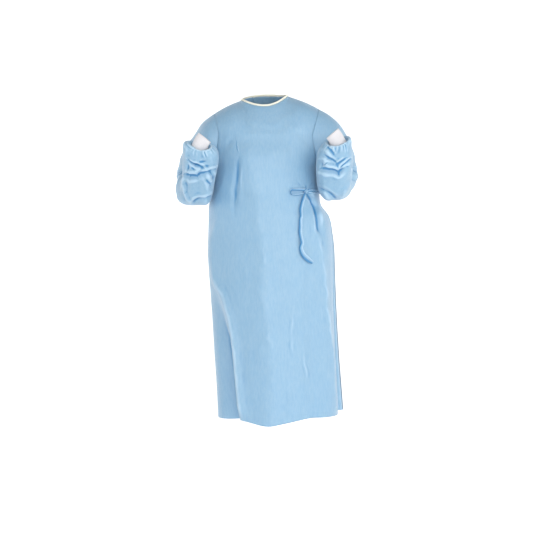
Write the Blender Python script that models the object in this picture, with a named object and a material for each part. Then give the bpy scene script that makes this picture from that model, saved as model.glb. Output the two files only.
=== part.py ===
"""A wrap-around surgical gown of blue nonwoven cloth, hollow, in the form it keeps when it is worn.

Metres, +Z up. The front faces -Y and the wearer's left is +X. The origin lies between the two points
where the neck meets the shoulders, where the wearer holds the gown up. Every piece of cloth is a thin
wall, worked out from section tables, and each cut-and-sewn piece is an object of its own.
"""

import math
from collections import namedtuple

import bpy
import bmesh
from mathutils import Quaternion, Vector

# ------------------------------------------------------------------ driving sizes

WALL = 0.0016            # cloth, as a rigid wall
SEAM_GAP = 0.0003        # between two pieces that are sewn together
LIE_GAP = 0.0008         # under what lies on a panel
FLAP_CLEAR_TOP = 0.0036  # the wrap flap over the inner back panel, at the neck and at the hem
FLAP_CLEAR_HEM = 0.0100
FLAP_RISE_FROM = 0.28    # how far before the inner panel's edge, as s, the flap starts to stand off
FLAP_RISE_TO = 0.10      # and where it has its full clearance

FRONT_COLUMNS = 28
OUTER_BACK_COLUMNS = 24
INNER_BACK_COLUMNS = 16
YOKE_ROWS = 6            # shoulder seam and neckline down to the middle of the armhole
ARMHOLE_ROWS = 4         # middle of the armhole down to the underarm
SKIRT_ROWS = 16          # underarm down to the hem
UNDERARM_ROW = YOKE_ROWS + ARMHOLE_ROWS
HEM_ROW = UNDERARM_ROW + SKIRT_ROWS

CHEST_Z = -0.140         # widest point of the armhole
UNDERARM_Z = -0.262
HEM_Z = -1.160
ARMHOLE_FRONT_Y = -0.095
ARMHOLE_BACK_Y = 0.098
CHEST_SWEEP = math.radians(46)   # how far round the chest a panel runs between the armholes
SWEEP_DROP = 0.45        # height over which the columns spread from that to half way round
SWEEP_POWER = 4          # how closely the last columns follow the armhole
ARMHOLE_POWER = 3        # how far in from the armhole its rows are drawn together
SEAM_CALM_POWER = 8      # how near the side seams the folds die out

NECK_SHARE = 6 / 14      # share of a panel's half width that the neckline takes
NECK_FRONT = Vector((0.0, -0.0795, -0.0405))
NECK_BACK = Vector((0.0, 0.0620, 0.0040))
SHOULDER_BULGE = 0.0038
NECKLINE_FLATNESS = 0.75
NECKLINE_FLAT_TO = 0.8   # as s, where that flatness has gone
NECKLINE_LEAN = 0.8      # how far the cloth at the neckline faces forward or back instead of up

# Where the shoulder seam starts at the neck and ends at the armhole. The wearer's left is the higher.
Shoulder = namedtuple("Shoulder", "sign neck_x neck_z tip_x tip_z")
LEFT_SHOULDER = Shoulder(1, 0.0850, 0.0005, 0.1950, -0.0455)
RIGHT_SHOULDER = Shoulder(-1, 0.0865, -0.0145, 0.1800, -0.0610)

# Level sections of the body, from the middle of the armhole to the hem. The skirt hangs towards the
# wearer's left. flap is how far the wrap flap's free edge stands off the panel that it lies on.
Section = namedtuple("Section", "z right left front back flap")
BODY = [
    Section(-0.140, -0.1620, 0.1680, -0.128, 0.125, 0.0036),
    Section(-0.200, -0.1700, 0.1780, -0.138, 0.128, 0.0036),
    Section(-0.262, -0.1820, 0.1900, -0.142, 0.126, 0.0036),
    Section(-0.345, -0.1900, 0.1960, -0.141, 0.116, 0.0036),
    Section(-0.390, -0.2010, 0.2025, -0.146, 0.120, 0.0040),
    Section(-0.430, -0.2025, 0.2290, -0.149, 0.126, 0.0050),
    Section(-0.490, -0.2035, 0.2406, -0.152, 0.134, 0.0070),
    Section(-0.554, -0.2043, 0.2450, -0.156, 0.141, 0.0090),
    Section(-0.660, -0.2000, 0.2466, -0.164, 0.149, 0.0110),
    Section(-0.806, -0.1902, 0.2500, -0.174, 0.155, 0.0140),
    Section(-0.930, -0.1830, 0.2555, -0.182, 0.160, 0.0160),
    Section(-1.036, -0.1760, 0.2615, -0.188, 0.164, 0.0180),
    Section(-1.160, -0.1700, 0.2670, -0.195, 0.168, 0.0220),
]

# Height of the hem over HEM_Z across the front, and the back, from the wearer's right to the left.
HemPoint = namedtuple("HemPoint", "s front back")
HEM = [
    HemPoint(-1.00, 0.000, 0.000),
    HemPoint(-0.55, 0.008, 0.004),
    HemPoint(-0.40, 0.014, 0.006),
    HemPoint(-0.12, 0.001, 0.003),
    HemPoint(0.05, 0.009, 0.000),
    HemPoint(0.30, 0.022, 0.004),
    HemPoint(0.60, 0.019, 0.012),
    HemPoint(1.00, 0.011, 0.024),
]

# The free edges of the back panels, as s, which runs from -1 at the wearer's right side seam to 1 at
# the left one.
FlapEdge = namedtuple("FlapEdge", "row outer inner")
FLAP_EDGES = [
    FlapEdge(0, 1 / 7, -1 / 7),
    FlapEdge(6, 0.30, -0.15),
    FlapEdge(10, 0.66, -0.18),
    FlapEdge(12, 0.90, -0.20),
    FlapEdge(14, 0.93, -0.20),
    FlapEdge(26, 0.95, -0.22),
]

# Folds: ridges (height above 0) and troughs that run down a panel. line gives the fold's place as
# (z, x) from its top to its bottom, and its height changes evenly from top to bottom.
FoldLine = namedtuple("FoldLine", "face top bottom width line")
FOLDS = [
    # the long S-shaped ridge at the wearer's right and the deep trough beside it
    FoldLine("front", 0.006, 0.016, 0.020, [
        (-0.41, -0.156), (-0.51, -0.187), (-0.57, -0.190), (-0.65, -0.175), (-0.70, -0.150),
        (-0.78, -0.123), (-0.86, -0.109), (-0.95, -0.100), (-1.16, -0.078)]),
    FoldLine("front", -0.004, -0.075, 0.026, [
        (-0.66, -0.196), (-0.86, -0.150), (-1.00, -0.138), (-1.18, -0.126)]),
    # the soft edge between the pulled side and the smooth middle
    FoldLine("front", 0.005, 0.010, 0.045, [
        (-0.16, -0.095), (-0.38, -0.051), (-0.56, -0.027), (-0.74, -0.027), (-1.00, 0.004), (-1.18, 0.012)]),
    # the two short troughs under the right arm
    FoldLine("front", -0.010, -0.005, 0.016, [(-0.19, -0.128), (-0.34, -0.158), (-0.46, -0.166)]),
    FoldLine("front", -0.006, -0.003, 0.014, [(-0.20, -0.086), (-0.30, -0.099), (-0.42, -0.106)]),
    # from the belt's knot down, and the ridge at the left side
    FoldLine("front", -0.014, -0.004, 0.013, [
        (-0.35, 0.145), (-0.40, 0.172), (-0.43, 0.180), (-0.52, 0.190)]),
    FoldLine("front", 0.006, 0.010, 0.020, [
        (-0.44, 0.205), (-0.60, 0.208), (-0.84, 0.226), (-1.16, 0.250)]),
    FoldLine("front", -0.003, -0.010, 0.030, [(-0.50, 0.166), (-0.76, 0.166), (-1.18, 0.175)]),
    # the back: soft folds that hang from the shoulder blades and from the belt
    FoldLine("back", -0.004, -0.012, 0.036, [(-0.40, -0.130), (-0.80, -0.115), (-1.18, -0.100)]),
    FoldLine("back", 0.004, 0.014, 0.038, [(-0.36, -0.050), (-0.80, -0.040), (-1.18, -0.020)]),
    FoldLine("back", -0.004, -0.012, 0.036, [(-0.38, 0.030), (-0.80, 0.045), (-1.18, 0.065)]),
    FoldLine("back", 0.003, 0.012, 0.038, [(-0.38, 0.110), (-0.80, 0.125), (-1.18, 0.150)]),
    FoldLine("back", -0.006, -0.003, 0.030, [(-0.12, -0.020), (-0.24, 0.010), (-0.36, 0.040)]),
]
FOLD_FADE = 0.07         # length over which a fold starts and ends

# Sleeve. From the armhole to above the elbow the rings are given by their outer and inner points.
UpperRing = namedtuple("UpperRing", "outer_x outer_z inner_x inner_z middle_y half_depth")
# Then they turn about a line across the crook of the elbow (turn, in degrees) and run up the forearm
# (along). near is the distance from that line to the cloth, and depth is the sleeve's depth. The last
# rings lean towards the hand, and the cloth tucks in to the cuff's seam, with a puff at the outer side.
LowerRing = namedtuple("LowerRing", "turn along inner_x outer_x near depth square puff lean")
Arm = namedtuple("Arm", "sign crook_y crook_z upper lower cuff_lean")
RING_POINTS = 2 * UNDERARM_ROW
UPPER_SQUARENESS = 2.0   # 2 is an oval, and more is squarer
PUFF_POWER = 3           # how closely the puff above the cuff keeps to the sleeve's outer side
STEPS_A_RING = 2         # rings made between two rows of the lower table that lie this far apart:
LONG_STEP = 0.02
LONG_TURN = 10

LEFT_ARM = Arm(
    1, -0.050, -0.250,
    [
        UpperRing(0.2306, -0.0660, 0.1930, -0.2628, 0.000, 0.096),
        UpperRing(0.2650, -0.0945, 0.1960, -0.2636, 0.002, 0.091),
        UpperRing(0.2900, -0.1300, 0.1985, -0.2648, 0.007, 0.083),
        UpperRing(0.3100, -0.1700, 0.2000, -0.2664, 0.013, 0.075),
        UpperRing(0.3260, -0.2150, 0.2008, -0.2684, 0.019, 0.066),
    ],
    [
        LowerRing(26, 0.000, 0.2010, 0.3370, 0.012, 0.122, 2.2, 0.0, 0.0),
        LowerRing(44, 0.000, 0.2010, 0.3330, 0.012, 0.116, 2.2, 0.0, 0.0),
        LowerRing(66, 0.000, 0.2005, 0.3200, 0.012, 0.112, 2.2, 0.0, 0.0),
        LowerRing(90, 0.000, 0.1990, 0.3080, 0.012, 0.110, 2.3, 0.0, 0.0),
        LowerRing(116, 0.000, 0.1960, 0.3040, 0.012, 0.110, 2.3, 0.0, 0.0),
        LowerRing(140, 0.000, 0.1930, 0.3060, 0.012, 0.110, 2.3, 0.0, 0.0),
        LowerRing(140, 0.045, 0.1900, 0.3080, 0.013, 0.110, 2.3, 0.0, 0.0),
        LowerRing(140, 0.085, 0.1910, 0.3080, 0.017, 0.105, 2.3, 0.0, 0.0),
        LowerRing(140, 0.120, 0.1960, 0.3040, 0.023, 0.094, 2.3, 0.0, 0.0),
        LowerRing(140, 0.145, 0.2020, 0.2990, 0.029, 0.083, 2.3, 0.002, 0.05),
        LowerRing(140, 0.160, 0.2080, 0.2970, 0.034, 0.073, 2.2, 0.009, 0.15),
        LowerRing(140, 0.165, 0.2160, 0.2890, 0.040, 0.061, 2.1, 0.006, 0.25),
        LowerRing(140, 0.151, 0.2240, 0.2820, 0.047, 0.047, 2.0, 0.000, 0.30),
    ],
    Vector((-0.66, -0.05, 0.75)),
)
RIGHT_ARM = Arm(
    -1, -0.050, -0.265,
    [
        UpperRing(0.2045, -0.0780, 0.1865, -0.2640, 0.000, 0.096),
        UpperRing(0.2276, -0.0980, 0.1905, -0.2660, 0.002, 0.091),
        UpperRing(0.2540, -0.1380, 0.1940, -0.2680, 0.007, 0.083),
        UpperRing(0.2830, -0.1780, 0.1970, -0.2700, 0.013, 0.075),
        UpperRing(0.3060, -0.2230, 0.1990, -0.2720, 0.019, 0.068),
    ],
    [
        LowerRing(14, 0.000, 0.1975, 0.3190, 0.010, 0.125, 2.3, 0.0, 0.0),
        LowerRing(40, 0.000, 0.1975, 0.3120, 0.011, 0.119, 2.4, 0.0, 0.0),
        LowerRing(65, 0.000, 0.1975, 0.3190, 0.012, 0.115, 2.6, 0.0, 0.0),
        LowerRing(90, 0.000, 0.1965, 0.3160, 0.012, 0.113, 2.8, 0.0, 0.0),
        LowerRing(116, 0.000, 0.1920, 0.3000, 0.012, 0.113, 2.6, 0.0, 0.0),
        LowerRing(140, 0.000, 0.1870, 0.2920, 0.012, 0.111, 2.4, 0.0, 0.0),
        LowerRing(140, 0.045, 0.1800, 0.2880, 0.013, 0.110, 2.3, 0.0, 0.0),
        LowerRing(140, 0.085, 0.1720, 0.2860, 0.017, 0.105, 2.3, 0.0, 0.0),
        LowerRing(140, 0.120, 0.1690, 0.2840, 0.023, 0.094, 2.3, 0.0, 0.0),
        LowerRing(140, 0.145, 0.1740, 0.2820, 0.029, 0.083, 2.3, 0.002, 0.05),
        LowerRing(140, 0.160, 0.1820, 0.2790, 0.034, 0.073, 2.2, 0.009, 0.15),
        LowerRing(140, 0.165, 0.1880, 0.2660, 0.040, 0.061, 2.1, 0.006, 0.25),
        LowerRing(140, 0.151, 0.1960, 0.2540, 0.047, 0.047, 2.0, 0.000, 0.30),
    ],
    Vector((0.62, -0.05, 0.78)),
)

# Creases across the sleeves: a straight trough from one point to another, in the front view (x, z).
Crease = namedtuple("Crease", "x1 z1 x2 z2 depth width")
LEFT_CREASES = [
    Crease(0.200, -0.250, 0.262, -0.292, 0.012, 0.013),
    Crease(0.262, -0.292, 0.300, -0.262, 0.010, 0.012),
    Crease(0.205, -0.205, 0.245, -0.240, 0.008, 0.010),
    Crease(0.200, -0.330, 0.250, -0.372, 0.009, 0.012),
]
RIGHT_CREASES = [
    Crease(-0.288, -0.275, -0.262, -0.300, 0.008, 0.012),
    Crease(-0.262, -0.300, -0.190, -0.262, 0.011, 0.013),
    Crease(-0.262, -0.240, -0.215, -0.262, 0.008, 0.009),
    Crease(-0.262, -0.385, -0.190, -0.345, 0.008, 0.013),
]
CREASE_FRONT_Y = -0.060  # creases are only on the cloth in front of this
CREASE_FADE = 0.02       # and reach their full depth over this distance

CUFF_LENGTH = 0.045
CUFF_RINGS = 4
CUFF_MOUTH_SCALE = 0.90

BINDING_WIDTH = 0.0075
BINDING_THICKNESS = 0.0024
BINDING_GAP = 0.0006
BINDING_LEAN = Vector((0.55, 0.45, 0.85))   # in towards the neck, sideways and along Y, and up
NECK_TOLERANCE = 0.001   # in s, for the column that lies at the neck's shoulder point

BELT_Z = -0.3420
BELT_WIDTH = 0.0180
BELT_THICKNESS = 0.0016
BELT_SEGMENTS = 30
BELT_START_S = 0.74      # on the wrap flap, at the back of the wearer's left side
BELT_LANDING = (0.03, 0.22)     # past the flap's edge, as s, where the belt comes down to the front
BELT_FROM_KNOT = 0.0048  # from the middle of the knot to the belt's end, sideways
KNOT_FOOT_X = 0.1415     # where the knot lies on the front panel
KNOT_SIZE = Vector((0.0100, 0.0075, 0.0100))
LOOP_THICKNESS = 0.0056
TIE_STEPS = 3            # stretches of a tie between two points of its table
HALVINGS = 24            # steps in the search for the column that lies at an x

TAB_ROWS = (1.1, 1.5, 1.9)      # its height, as rows of the back panels
TAB_START_S = 0.02       # on the wrap flap
TAB_END_S = 0.27         # on the inner back panel
TAB_LANDING = (0.02, 0.10)
TAB_SEGMENTS = 8

# ------------------------------------------------------------------ curves through tables


def smooth(table, key, at):
    """Read every column of a table at a key that lies between two rows, on a smooth curve."""
    keys = [getattr(row, key) for row in table]
    if keys[0] > keys[-1]:
        keys = [-value for value in keys]
        at = -at
    at = min(max(at, keys[0]), keys[-1])
    last = len(table) - 1
    low = max(k for k in range(last) if keys[k] <= at)
    span = keys[low + 1] - keys[low]
    share = (at - keys[low]) / span
    read = []
    for column in zip(*table):
        slopes = []
        for k in (low, low + 1):
            before, after = max(k - 1, 0), min(k + 1, last)
            slopes.append((column[after] - column[before]) / (keys[after] - keys[before]))
        read.append(
            (2 * share**3 - 3 * share**2 + 1) * column[low]
            + (share**3 - 2 * share**2 + share) * span * slopes[0]
            + (3 * share**2 - 2 * share**3) * column[low + 1]
            + (share**3 - share**2) * span * slopes[1]
        )
    return table[0]._replace(**dict(zip(table[0]._fields, read)))


def mix(a, b, share):
    return a + (b - a) * share


def ease(value, low, high):
    """0 below low, 1 above high, and a soft S between them."""
    share = min(max((value - low) / (high - low), 0.0), 1.0)
    return share * share * (3 - 2 * share)


def between(before, start, end, after, t):
    """A smooth curve from start to end, which also heeds the points before and after them."""
    return 0.5 * (
        2 * start
        + (end - before) * t
        + (2 * before - 5 * start + 4 * end - after) * t**2
        + (3 * start - before - 3 * end + after) * t**3
    )


def four_around(points, k):
    """The two points k and k + 1 of a list, with their outer neighbours."""
    last = len(points) - 1
    return points[max(k - 1, 0)], points[k], points[k + 1], points[min(k + 2, last)]


# ------------------------------------------------------------------ the body's surface


def top_edge(face, s):
    """A panel's upper edge: half the neckline between the shoulders, then the shoulder seams."""
    shoulder = LEFT_SHOULDER if s >= 0 else RIGHT_SHOULDER
    share = abs(s)
    if share >= NECK_SHARE:
        out = (share - NECK_SHARE) / (1 - NECK_SHARE)
        x = mix(shoulder.neck_x, shoulder.tip_x, out)
        z = mix(shoulder.neck_z, shoulder.tip_z, out) + 4 * SHOULDER_BULGE * out * (1 - out)
        return Vector((shoulder.sign * x, 0.0, z))
    round_neck = share / NECK_SHARE * math.pi / 2
    middle = NECK_FRONT if face == "front" else NECK_BACK
    rise = math.sin(round_neck) ** 2
    return Vector((
        shoulder.sign * shoulder.neck_x * math.sin(round_neck),
        middle.y * math.cos(round_neck),
        mix(middle.z, shoulder.neck_z, rise),
    ))


def level_point(face, s, z):
    """A point of the body's level section, at s across the panel. Returns it with its outward direction."""
    section = smooth(BODY, "z", z)
    armhole = math.sqrt(max(0.0, 1 - max(0.0, (CHEST_Z - z) / (CHEST_Z - UNDERARM_Z)) ** 2))
    sweep = mix(math.pi / 2, CHEST_SWEEP, armhole)
    inner_sweep = mix(CHEST_SWEEP, math.pi / 2, ease(CHEST_Z - z, 0.0, SWEEP_DROP))
    deep, edge = (section.front, ARMHOLE_FRONT_Y) if face == "front" else (section.back, ARMHOLE_BACK_Y)
    edge = edge * armhole
    angle = s * inner_sweep + math.copysign(abs(s) ** SWEEP_POWER, s) * (sweep - inner_sweep)
    middle, half = (section.left + section.right) / 2, (section.left - section.right) / 2
    x = middle + half * math.sin(angle) / math.sin(sweep)
    y = edge + (deep - edge) * (math.cos(angle) - math.cos(sweep)) / (1 - math.cos(sweep))
    outward = Vector((math.sin(angle) / half, math.cos(angle) / deep, 0.0)).normalized()
    return Vector((x, y, z)), outward


def fold_height(face, x, z):
    """How far the folds move the cloth out, or in."""
    height = 0.0
    for fold in FOLDS:
        top, bottom = fold.line[0][0], fold.line[-1][0]
        if fold.face != face or not bottom < z < top:
            continue
        k = max(i for i in range(len(fold.line) - 1) if fold.line[i][0] >= z)
        (z1, x1), (z2, x2) = fold.line[k], fold.line[k + 1]
        place = mix(x1, x2, (z - z1) / (z2 - z1))
        grown = mix(fold.top, fold.bottom, (z - top) / (bottom - top))
        fade = ease(top - z, 0.0, FOLD_FADE) * (1.0 if bottom < HEM_Z else ease(z - bottom, 0.0, FOLD_FADE))
        height += grown * fade * math.exp(-(((x - place) / fold.width) ** 2))
    return height


def body_point(face, s, row, lift=0.0):
    """A point of the front or the back, s across it and row down it, lift outside the cloth's own place."""
    chest, chest_out = level_point(face, s, CHEST_Z)
    if row <= YOKE_ROWS:
        top = top_edge(face, s)
        turn = row / YOKE_ROWS * math.pi / 2
        flat = NECKLINE_FLATNESS * (1 - ease(abs(s), 0.0, NECKLINE_FLAT_TO))
        forward = mix(math.sin(turn), row / YOKE_ROWS, flat)
        down = mix(1 - math.cos(turn), row / YOKE_ROWS, flat)
        point = Vector((mix(top.x, chest.x, down), mix(top.y, chest.y, forward), mix(top.z, chest.z, down)))
        upright = mix(forward, 1.0, NECKLINE_LEAN * flat)
        outward = mix(Vector((0.0, 0.0, 1.0)), chest_out, upright).normalized()
        return point + outward * (lift + fold_height(face, point.x, point.z))
    if row <= UNDERARM_ROW:
        share = (row - YOKE_ROWS) / ARMHOLE_ROWS
        drop = mix(share, math.sin(share * math.pi / 2), abs(s) ** ARMHOLE_POWER)
        z = mix(CHEST_Z, UNDERARM_Z, drop)
    else:
        hem = smooth(HEM, "s", s)
        hem_z = HEM_Z + (hem.front if face == "front" else hem.back)
        z = mix(UNDERARM_Z, hem_z, (row - UNDERARM_ROW) / SKIRT_ROWS)
    point, outward = level_point(face, s, z)
    away_from_seam = 1 - abs(s) ** SEAM_CALM_POWER
    return point + outward * (lift + away_from_seam * fold_height(face, point.x, z))


def row_at(z):
    """The row that lies at a height below the underarm."""
    return UNDERARM_ROW + SKIRT_ROWS * (z - UNDERARM_Z) / (HEM_Z - UNDERARM_Z)


def flap_lift(s, row, edge):
    """How far the wrap flap stands off the panels under it: nothing at its own seam, most at its edge."""
    z = UNDERARM_Z if row < UNDERARM_ROW else mix(UNDERARM_Z, HEM_Z, (row - UNDERARM_ROW) / SKIRT_ROWS)
    at_edge = smooth(BODY, "z", z).flap
    slack = mix(FLAP_CLEAR_TOP, FLAP_CLEAR_HEM, ease(row, 0, HEM_ROW))
    over_inner = slack * ease(s, edge.inner - FLAP_RISE_FROM, edge.inner - FLAP_RISE_TO)
    return over_inner + max(0.0, at_edge - slack) * ease(s, 0.0, edge.outer)


# ------------------------------------------------------------------ from points to closed walls


def cloth_normals(rows, ring, turn):
    """The outward direction at each point of a grid of points."""
    last_row, count = len(rows) - 1, len(rows[0])
    normals = []
    for i, row in enumerate(rows):
        found = []
        for j in range(count):
            if ring:
                across = row[(j + 1) % count] - row[j - 1]
            else:
                across = row[min(j + 1, count - 1)] - row[max(j - 1, 0)]
            down = rows[min(i + 1, last_row)][j] - rows[max(i - 1, 0)][j]
            found.append(turn * down.cross(across).normalized())
        normals.append(found)
    return normals


def add_object(name, mesh_data, material):
    mesh = bpy.data.meshes.new(name)
    mesh_data.to_mesh(mesh)
    mesh_data.free()
    mesh.materials.append(material)
    mesh.shade_smooth()
    made = bpy.data.objects.new(name, mesh)
    bpy.context.scene.collection.objects.link(made)
    return made


def closed_wall(name, rows, material, ring=False, turn=1, thickness=WALL, normals=None):
    """A wall whose outer side is a grid of points: an open sheet, or a tube where ring is set."""
    normals = normals or cloth_normals(rows, ring, turn)
    count = len(rows[0])
    made = bmesh.new()
    outer = [[made.verts.new(point) for point in row] for row in rows]
    inner = [
        [made.verts.new(point - direction * thickness) for point, direction in zip(row, directions)]
        for row, directions in zip(rows, normals)
    ]

    def two_triangles(corners, across=False):
        a, b, c, d = corners[1:] + corners[:1] if across else corners
        made.faces.new((a, b, c))
        made.faces.new((a, c, d))

    columns = range(count if ring else count - 1)
    for i in range(len(rows) - 1):
        for j in columns:
            k = (j + 1) % count
            one_way = (rows[i][j] - rows[i + 1][k]).length
            other_way = (rows[i + 1][j] - rows[i][k]).length
            for side in (outer, inner):
                two_triangles([side[i][j], side[i + 1][j], side[i + 1][k], side[i][k]], other_way < one_way)
    for i in (0, -1):
        for j in columns:
            k = (j + 1) % count
            two_triangles([outer[i][j], outer[i][k], inner[i][k], inner[i][j]])
    if not ring:
        for j in (0, -1):
            for i in range(len(rows) - 1):
                two_triangles([outer[i][j], inner[i][j], inner[i + 1][j], outer[i + 1][j]])
    bmesh.ops.recalc_face_normals(made, faces=made.faces)
    return add_object(name, made, material)


def draw_back(point, towards, gap=SEAM_GAP / 2):
    """A seam's edge, moved back into its own piece by half the seam's gap."""
    return point + (towards - point).normalized() * gap


# A panel's outer points and outward directions, row by row, and the s of its two edges at each row.
PanelGrid = namedtuple("PanelGrid", "rows normals edges")
Panels = namedtuple("Panels", "front outer inner")


def panel_grid(face, columns, first_s, last_s, lift):
    """A body panel. first_s and last_s give its two edges at each row; lift gives its offset."""
    turn = 1 if face == "front" else -1
    edges = [(first_s(row), last_s(row)) for row in range(HEM_ROW + 1)]
    rows = []
    for row, (low, high) in enumerate(edges):
        across = [mix(low, high, j / columns) for j in range(columns + 1)]
        rows.append([body_point(face, s, row, lift(s, row)) for s in across])
    normals = cloth_normals(rows, False, turn)
    for column, s in ((0, edges[0][0]), (columns, edges[0][1])):
        if abs(s) == 1:
            directions = armhole_directions(LEFT_ARM if s > 0 else RIGHT_ARM)
            for i in range(UNDERARM_ROW + 1):
                normals[i][column] = directions[i if face == "front" else -i].copy()
    for i, row in enumerate(rows):
        for j in range(columns + 1):
            on_border = i == 0 or j in (0, columns)
            if on_border and abs(row[j].y) < SEAM_GAP / 10:
                row[j].y = -turn * SEAM_GAP / 2
                normals[i][j].y = 0.0
                normals[i][j].normalize()
    for i in range(UNDERARM_ROW):
        for j, neighbour in ((0, 1), (columns, columns - 1)):
            rows[i][j] = draw_back(rows[i][j], rows[i][neighbour])
    return PanelGrid(rows, normals, edges)


def on_panel(grid, s, row, lift):
    """A point that lies lift outside a panel's own facets."""
    i = min(int(row), HEM_ROW - 1)
    low, high = (mix(a, b, row - i) for a, b in zip(grid.edges[i], grid.edges[i + 1]))
    columns = len(grid.rows[0]) - 1
    column = min(max((s - low) / (high - low), 0.0), 1.0) * columns
    j = min(int(column), columns - 1)
    u, v = column - j, row - i
    (a, d), (b, c) = (table[j:j + 2] for table in (grid.rows[i], grid.rows[i + 1]))
    if (b - d).length < (a - c).length:
        point = a + (b - a) * v + (d - a) * u if u + v <= 1 else c + (b - c) * (1 - u) + (d - c) * (1 - v)
    else:
        point = a + (b - a) * v + (c - b) * u if u <= v else a + (d - a) * u + (c - d) * v
    upper, lower = (mix(table[j], table[j + 1], u) for table in (grid.normals[i], grid.normals[i + 1]))
    return point + mix(upper, lower, v).normalized() * lift


def across_flap(panels, run, row, lift, landing):
    """A point of a strip that lies on the wrap flap and comes down past its edge to what is under it.

    run is s across the back, and past 1 it goes on round the left side to the front.
    """
    edge = smooth(FLAP_EDGES, "row", row).outer
    if run <= edge:
        return on_panel(panels.outer, run, row, lift)
    stand_off = (on_panel(panels.outer, edge, row, 0.0) - on_panel(panels.inner, edge, row, 0.0)).length
    lift += stand_off * (1 - ease(run, edge + landing[0], edge + landing[1]))
    if run <= 1:
        return on_panel(panels.inner, run, row, lift)
    return on_panel(panels.front, 2 - run, row, lift)


def ribbon(name, points, across, widths, thickness, facing, material):
    """A flat strip along a path. across is the direction of its width at each point, facing its outside."""
    rows = []
    normals = []
    for point, side, width, out in zip(points, across, widths, facing):
        rows.append([point - side * width / 2, point, point + side * width / 2])
        normals.append([out] * 3)
    return closed_wall(name, rows, material, thickness=thickness, normals=normals)


def through(points, steps):
    """A smooth curve through a few points, with a number of steps between each two."""
    curve = []
    for k in range(len(points) - 1):
        curve += [between(*four_around(points, k), step / steps) for step in range(steps)]
    return curve + [points[-1]]


def finish(name, colour, roughness):
    material = bpy.data.materials.new(name)
    material.use_nodes = True
    shader = material.node_tree.nodes["Principled BSDF"]
    shader.inputs["Base Color"].default_value = (*colour, 1.0)
    shader.inputs["Roughness"].default_value = roughness
    shader.inputs["Metallic"].default_value = 0.0
    return material


# ------------------------------------------------------------------ sleeves and cuffs


def armhole_loop(arm, lift=0.0):
    """The armhole's seam as a loop: from the shoulder tip down the front and up the back."""
    front = [body_point("front", arm.sign, row, lift) for row in range(UNDERARM_ROW + 1)]
    back = [body_point("back", arm.sign, row, lift) for row in range(1, UNDERARM_ROW)]
    return front + back[::-1]


def armhole_directions(arm):
    """The way the cloth's thickness points at the armhole's seam: half way between its two pieces."""
    seam, ring = armhole_loop(arm), upper_ring(arm, arm.upper[0])
    lifted = armhole_loop(arm, lift=1.0)
    directions = []
    for k, point in enumerate(seam):
        around = seam[(k + 1) % RING_POINTS] - seam[k - 1]
        out_of_sleeve = arm.sign * around.cross(ring[k] - point).normalized()
        out_of_body = lifted[k] - point
        directions.append((out_of_sleeve + out_of_body).normalized())
    for k in (0, UNDERARM_ROW):
        directions[k].y = 0.0
        directions[k].normalize()
    return directions


def ring_points(centre, outward, forward, square):
    """A rounded ring, from its outer point round by its front."""
    points = []
    for k in range(RING_POINTS):
        angle = 2 * math.pi * k / RING_POINTS
        c, s = math.cos(angle), math.sin(angle)
        points.append(
            centre
            + outward * math.copysign(abs(c) ** (2 / square), c)
            + forward * math.copysign(abs(s) ** (2 / square), s)
        )
    return points


def upper_ring(arm, ring):
    outer = Vector((arm.sign * ring.outer_x, ring.middle_y, ring.outer_z))
    inner = Vector((arm.sign * ring.inner_x, ring.middle_y, ring.inner_z))
    forward = Vector((0, -ring.half_depth, 0))
    return ring_points((outer + inner) / 2, (outer - inner) / 2, forward, UPPER_SQUARENESS)


def lower_ring(arm, ring):
    turn = math.radians(ring.turn)
    away = Vector((0.0, math.cos(turn), -math.sin(turn)))
    along = Vector((0.0, -math.sin(turn), -math.cos(turn)))
    centre = Vector((arm.sign * (ring.inner_x + ring.outer_x) / 2, arm.crook_y, arm.crook_z))
    centre += away * (ring.near + ring.depth / 2) + along * ring.along
    outward = Vector((arm.sign * (ring.outer_x - ring.inner_x) / 2, 0.0, 0.0))
    points = ring_points(centre, outward, -away * ring.depth / 2, ring.square)
    whole_swing = along.rotation_difference(arm.cuff_lean.normalized())
    swing = Quaternion().slerp(whole_swing, max(0.0, ring.lean))
    for k, point in enumerate(points):
        outer_side = max(0.0, math.cos(2 * math.pi * k / RING_POINTS)) ** PUFF_POWER
        points[k] = centre + swing @ (point - centre) + along * ring.puff * outer_side
    return points


def crease_depth(creases, point):
    """How far the creases across a sleeve push its front in."""
    if point.y > CREASE_FRONT_Y:
        return 0.0
    depth = 0.0
    for crease in creases:
        dx, dz = crease.x2 - crease.x1, crease.z2 - crease.z1
        share = ((point.x - crease.x1) * dx + (point.z - crease.z1) * dz) / (dx * dx + dz * dz)
        share = min(max(share, 0.0), 1.0)
        off = math.hypot(point.x - crease.x1 - share * dx, point.z - crease.z1 - share * dz)
        depth += crease.depth * math.exp(-((off / crease.width) ** 2))
    return depth * ease(CREASE_FRONT_Y - point.y, 0.0, CREASE_FADE)


def sleeve_rings(arm, creases):
    """The sleeve's rings, from the armhole's seam to the cuff's seam."""
    lower = [arm.lower[0]]
    for k in range(len(arm.lower) - 1):
        here, following = arm.lower[k], arm.lower[k + 1]
        far = following.along - here.along > LONG_STEP or following.turn - here.turn > LONG_TURN
        steps = STEPS_A_RING if far else 1
        for step in range(1, steps + 1):
            columns = zip(*four_around(arm.lower, k))
            lower.append(LowerRing(*[between(*column, step / steps) for column in columns]))
    rings = [armhole_loop(arm)]
    rings += [upper_ring(arm, ring) for ring in arm.upper]
    rings += [lower_ring(arm, ring) for ring in lower]
    normals = cloth_normals(rings, True, -arm.sign)
    for i in range(1, len(rings) - 1):
        for j, point in enumerate(rings[i]):
            point -= normals[i][j] * crease_depth(creases, point)
    rings[0] = [draw_back(a, b) for a, b in zip(rings[0], rings[1])]
    rings[-1] = [draw_back(a, b) for a, b in zip(rings[-1], rings[-2])]
    return rings


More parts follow.
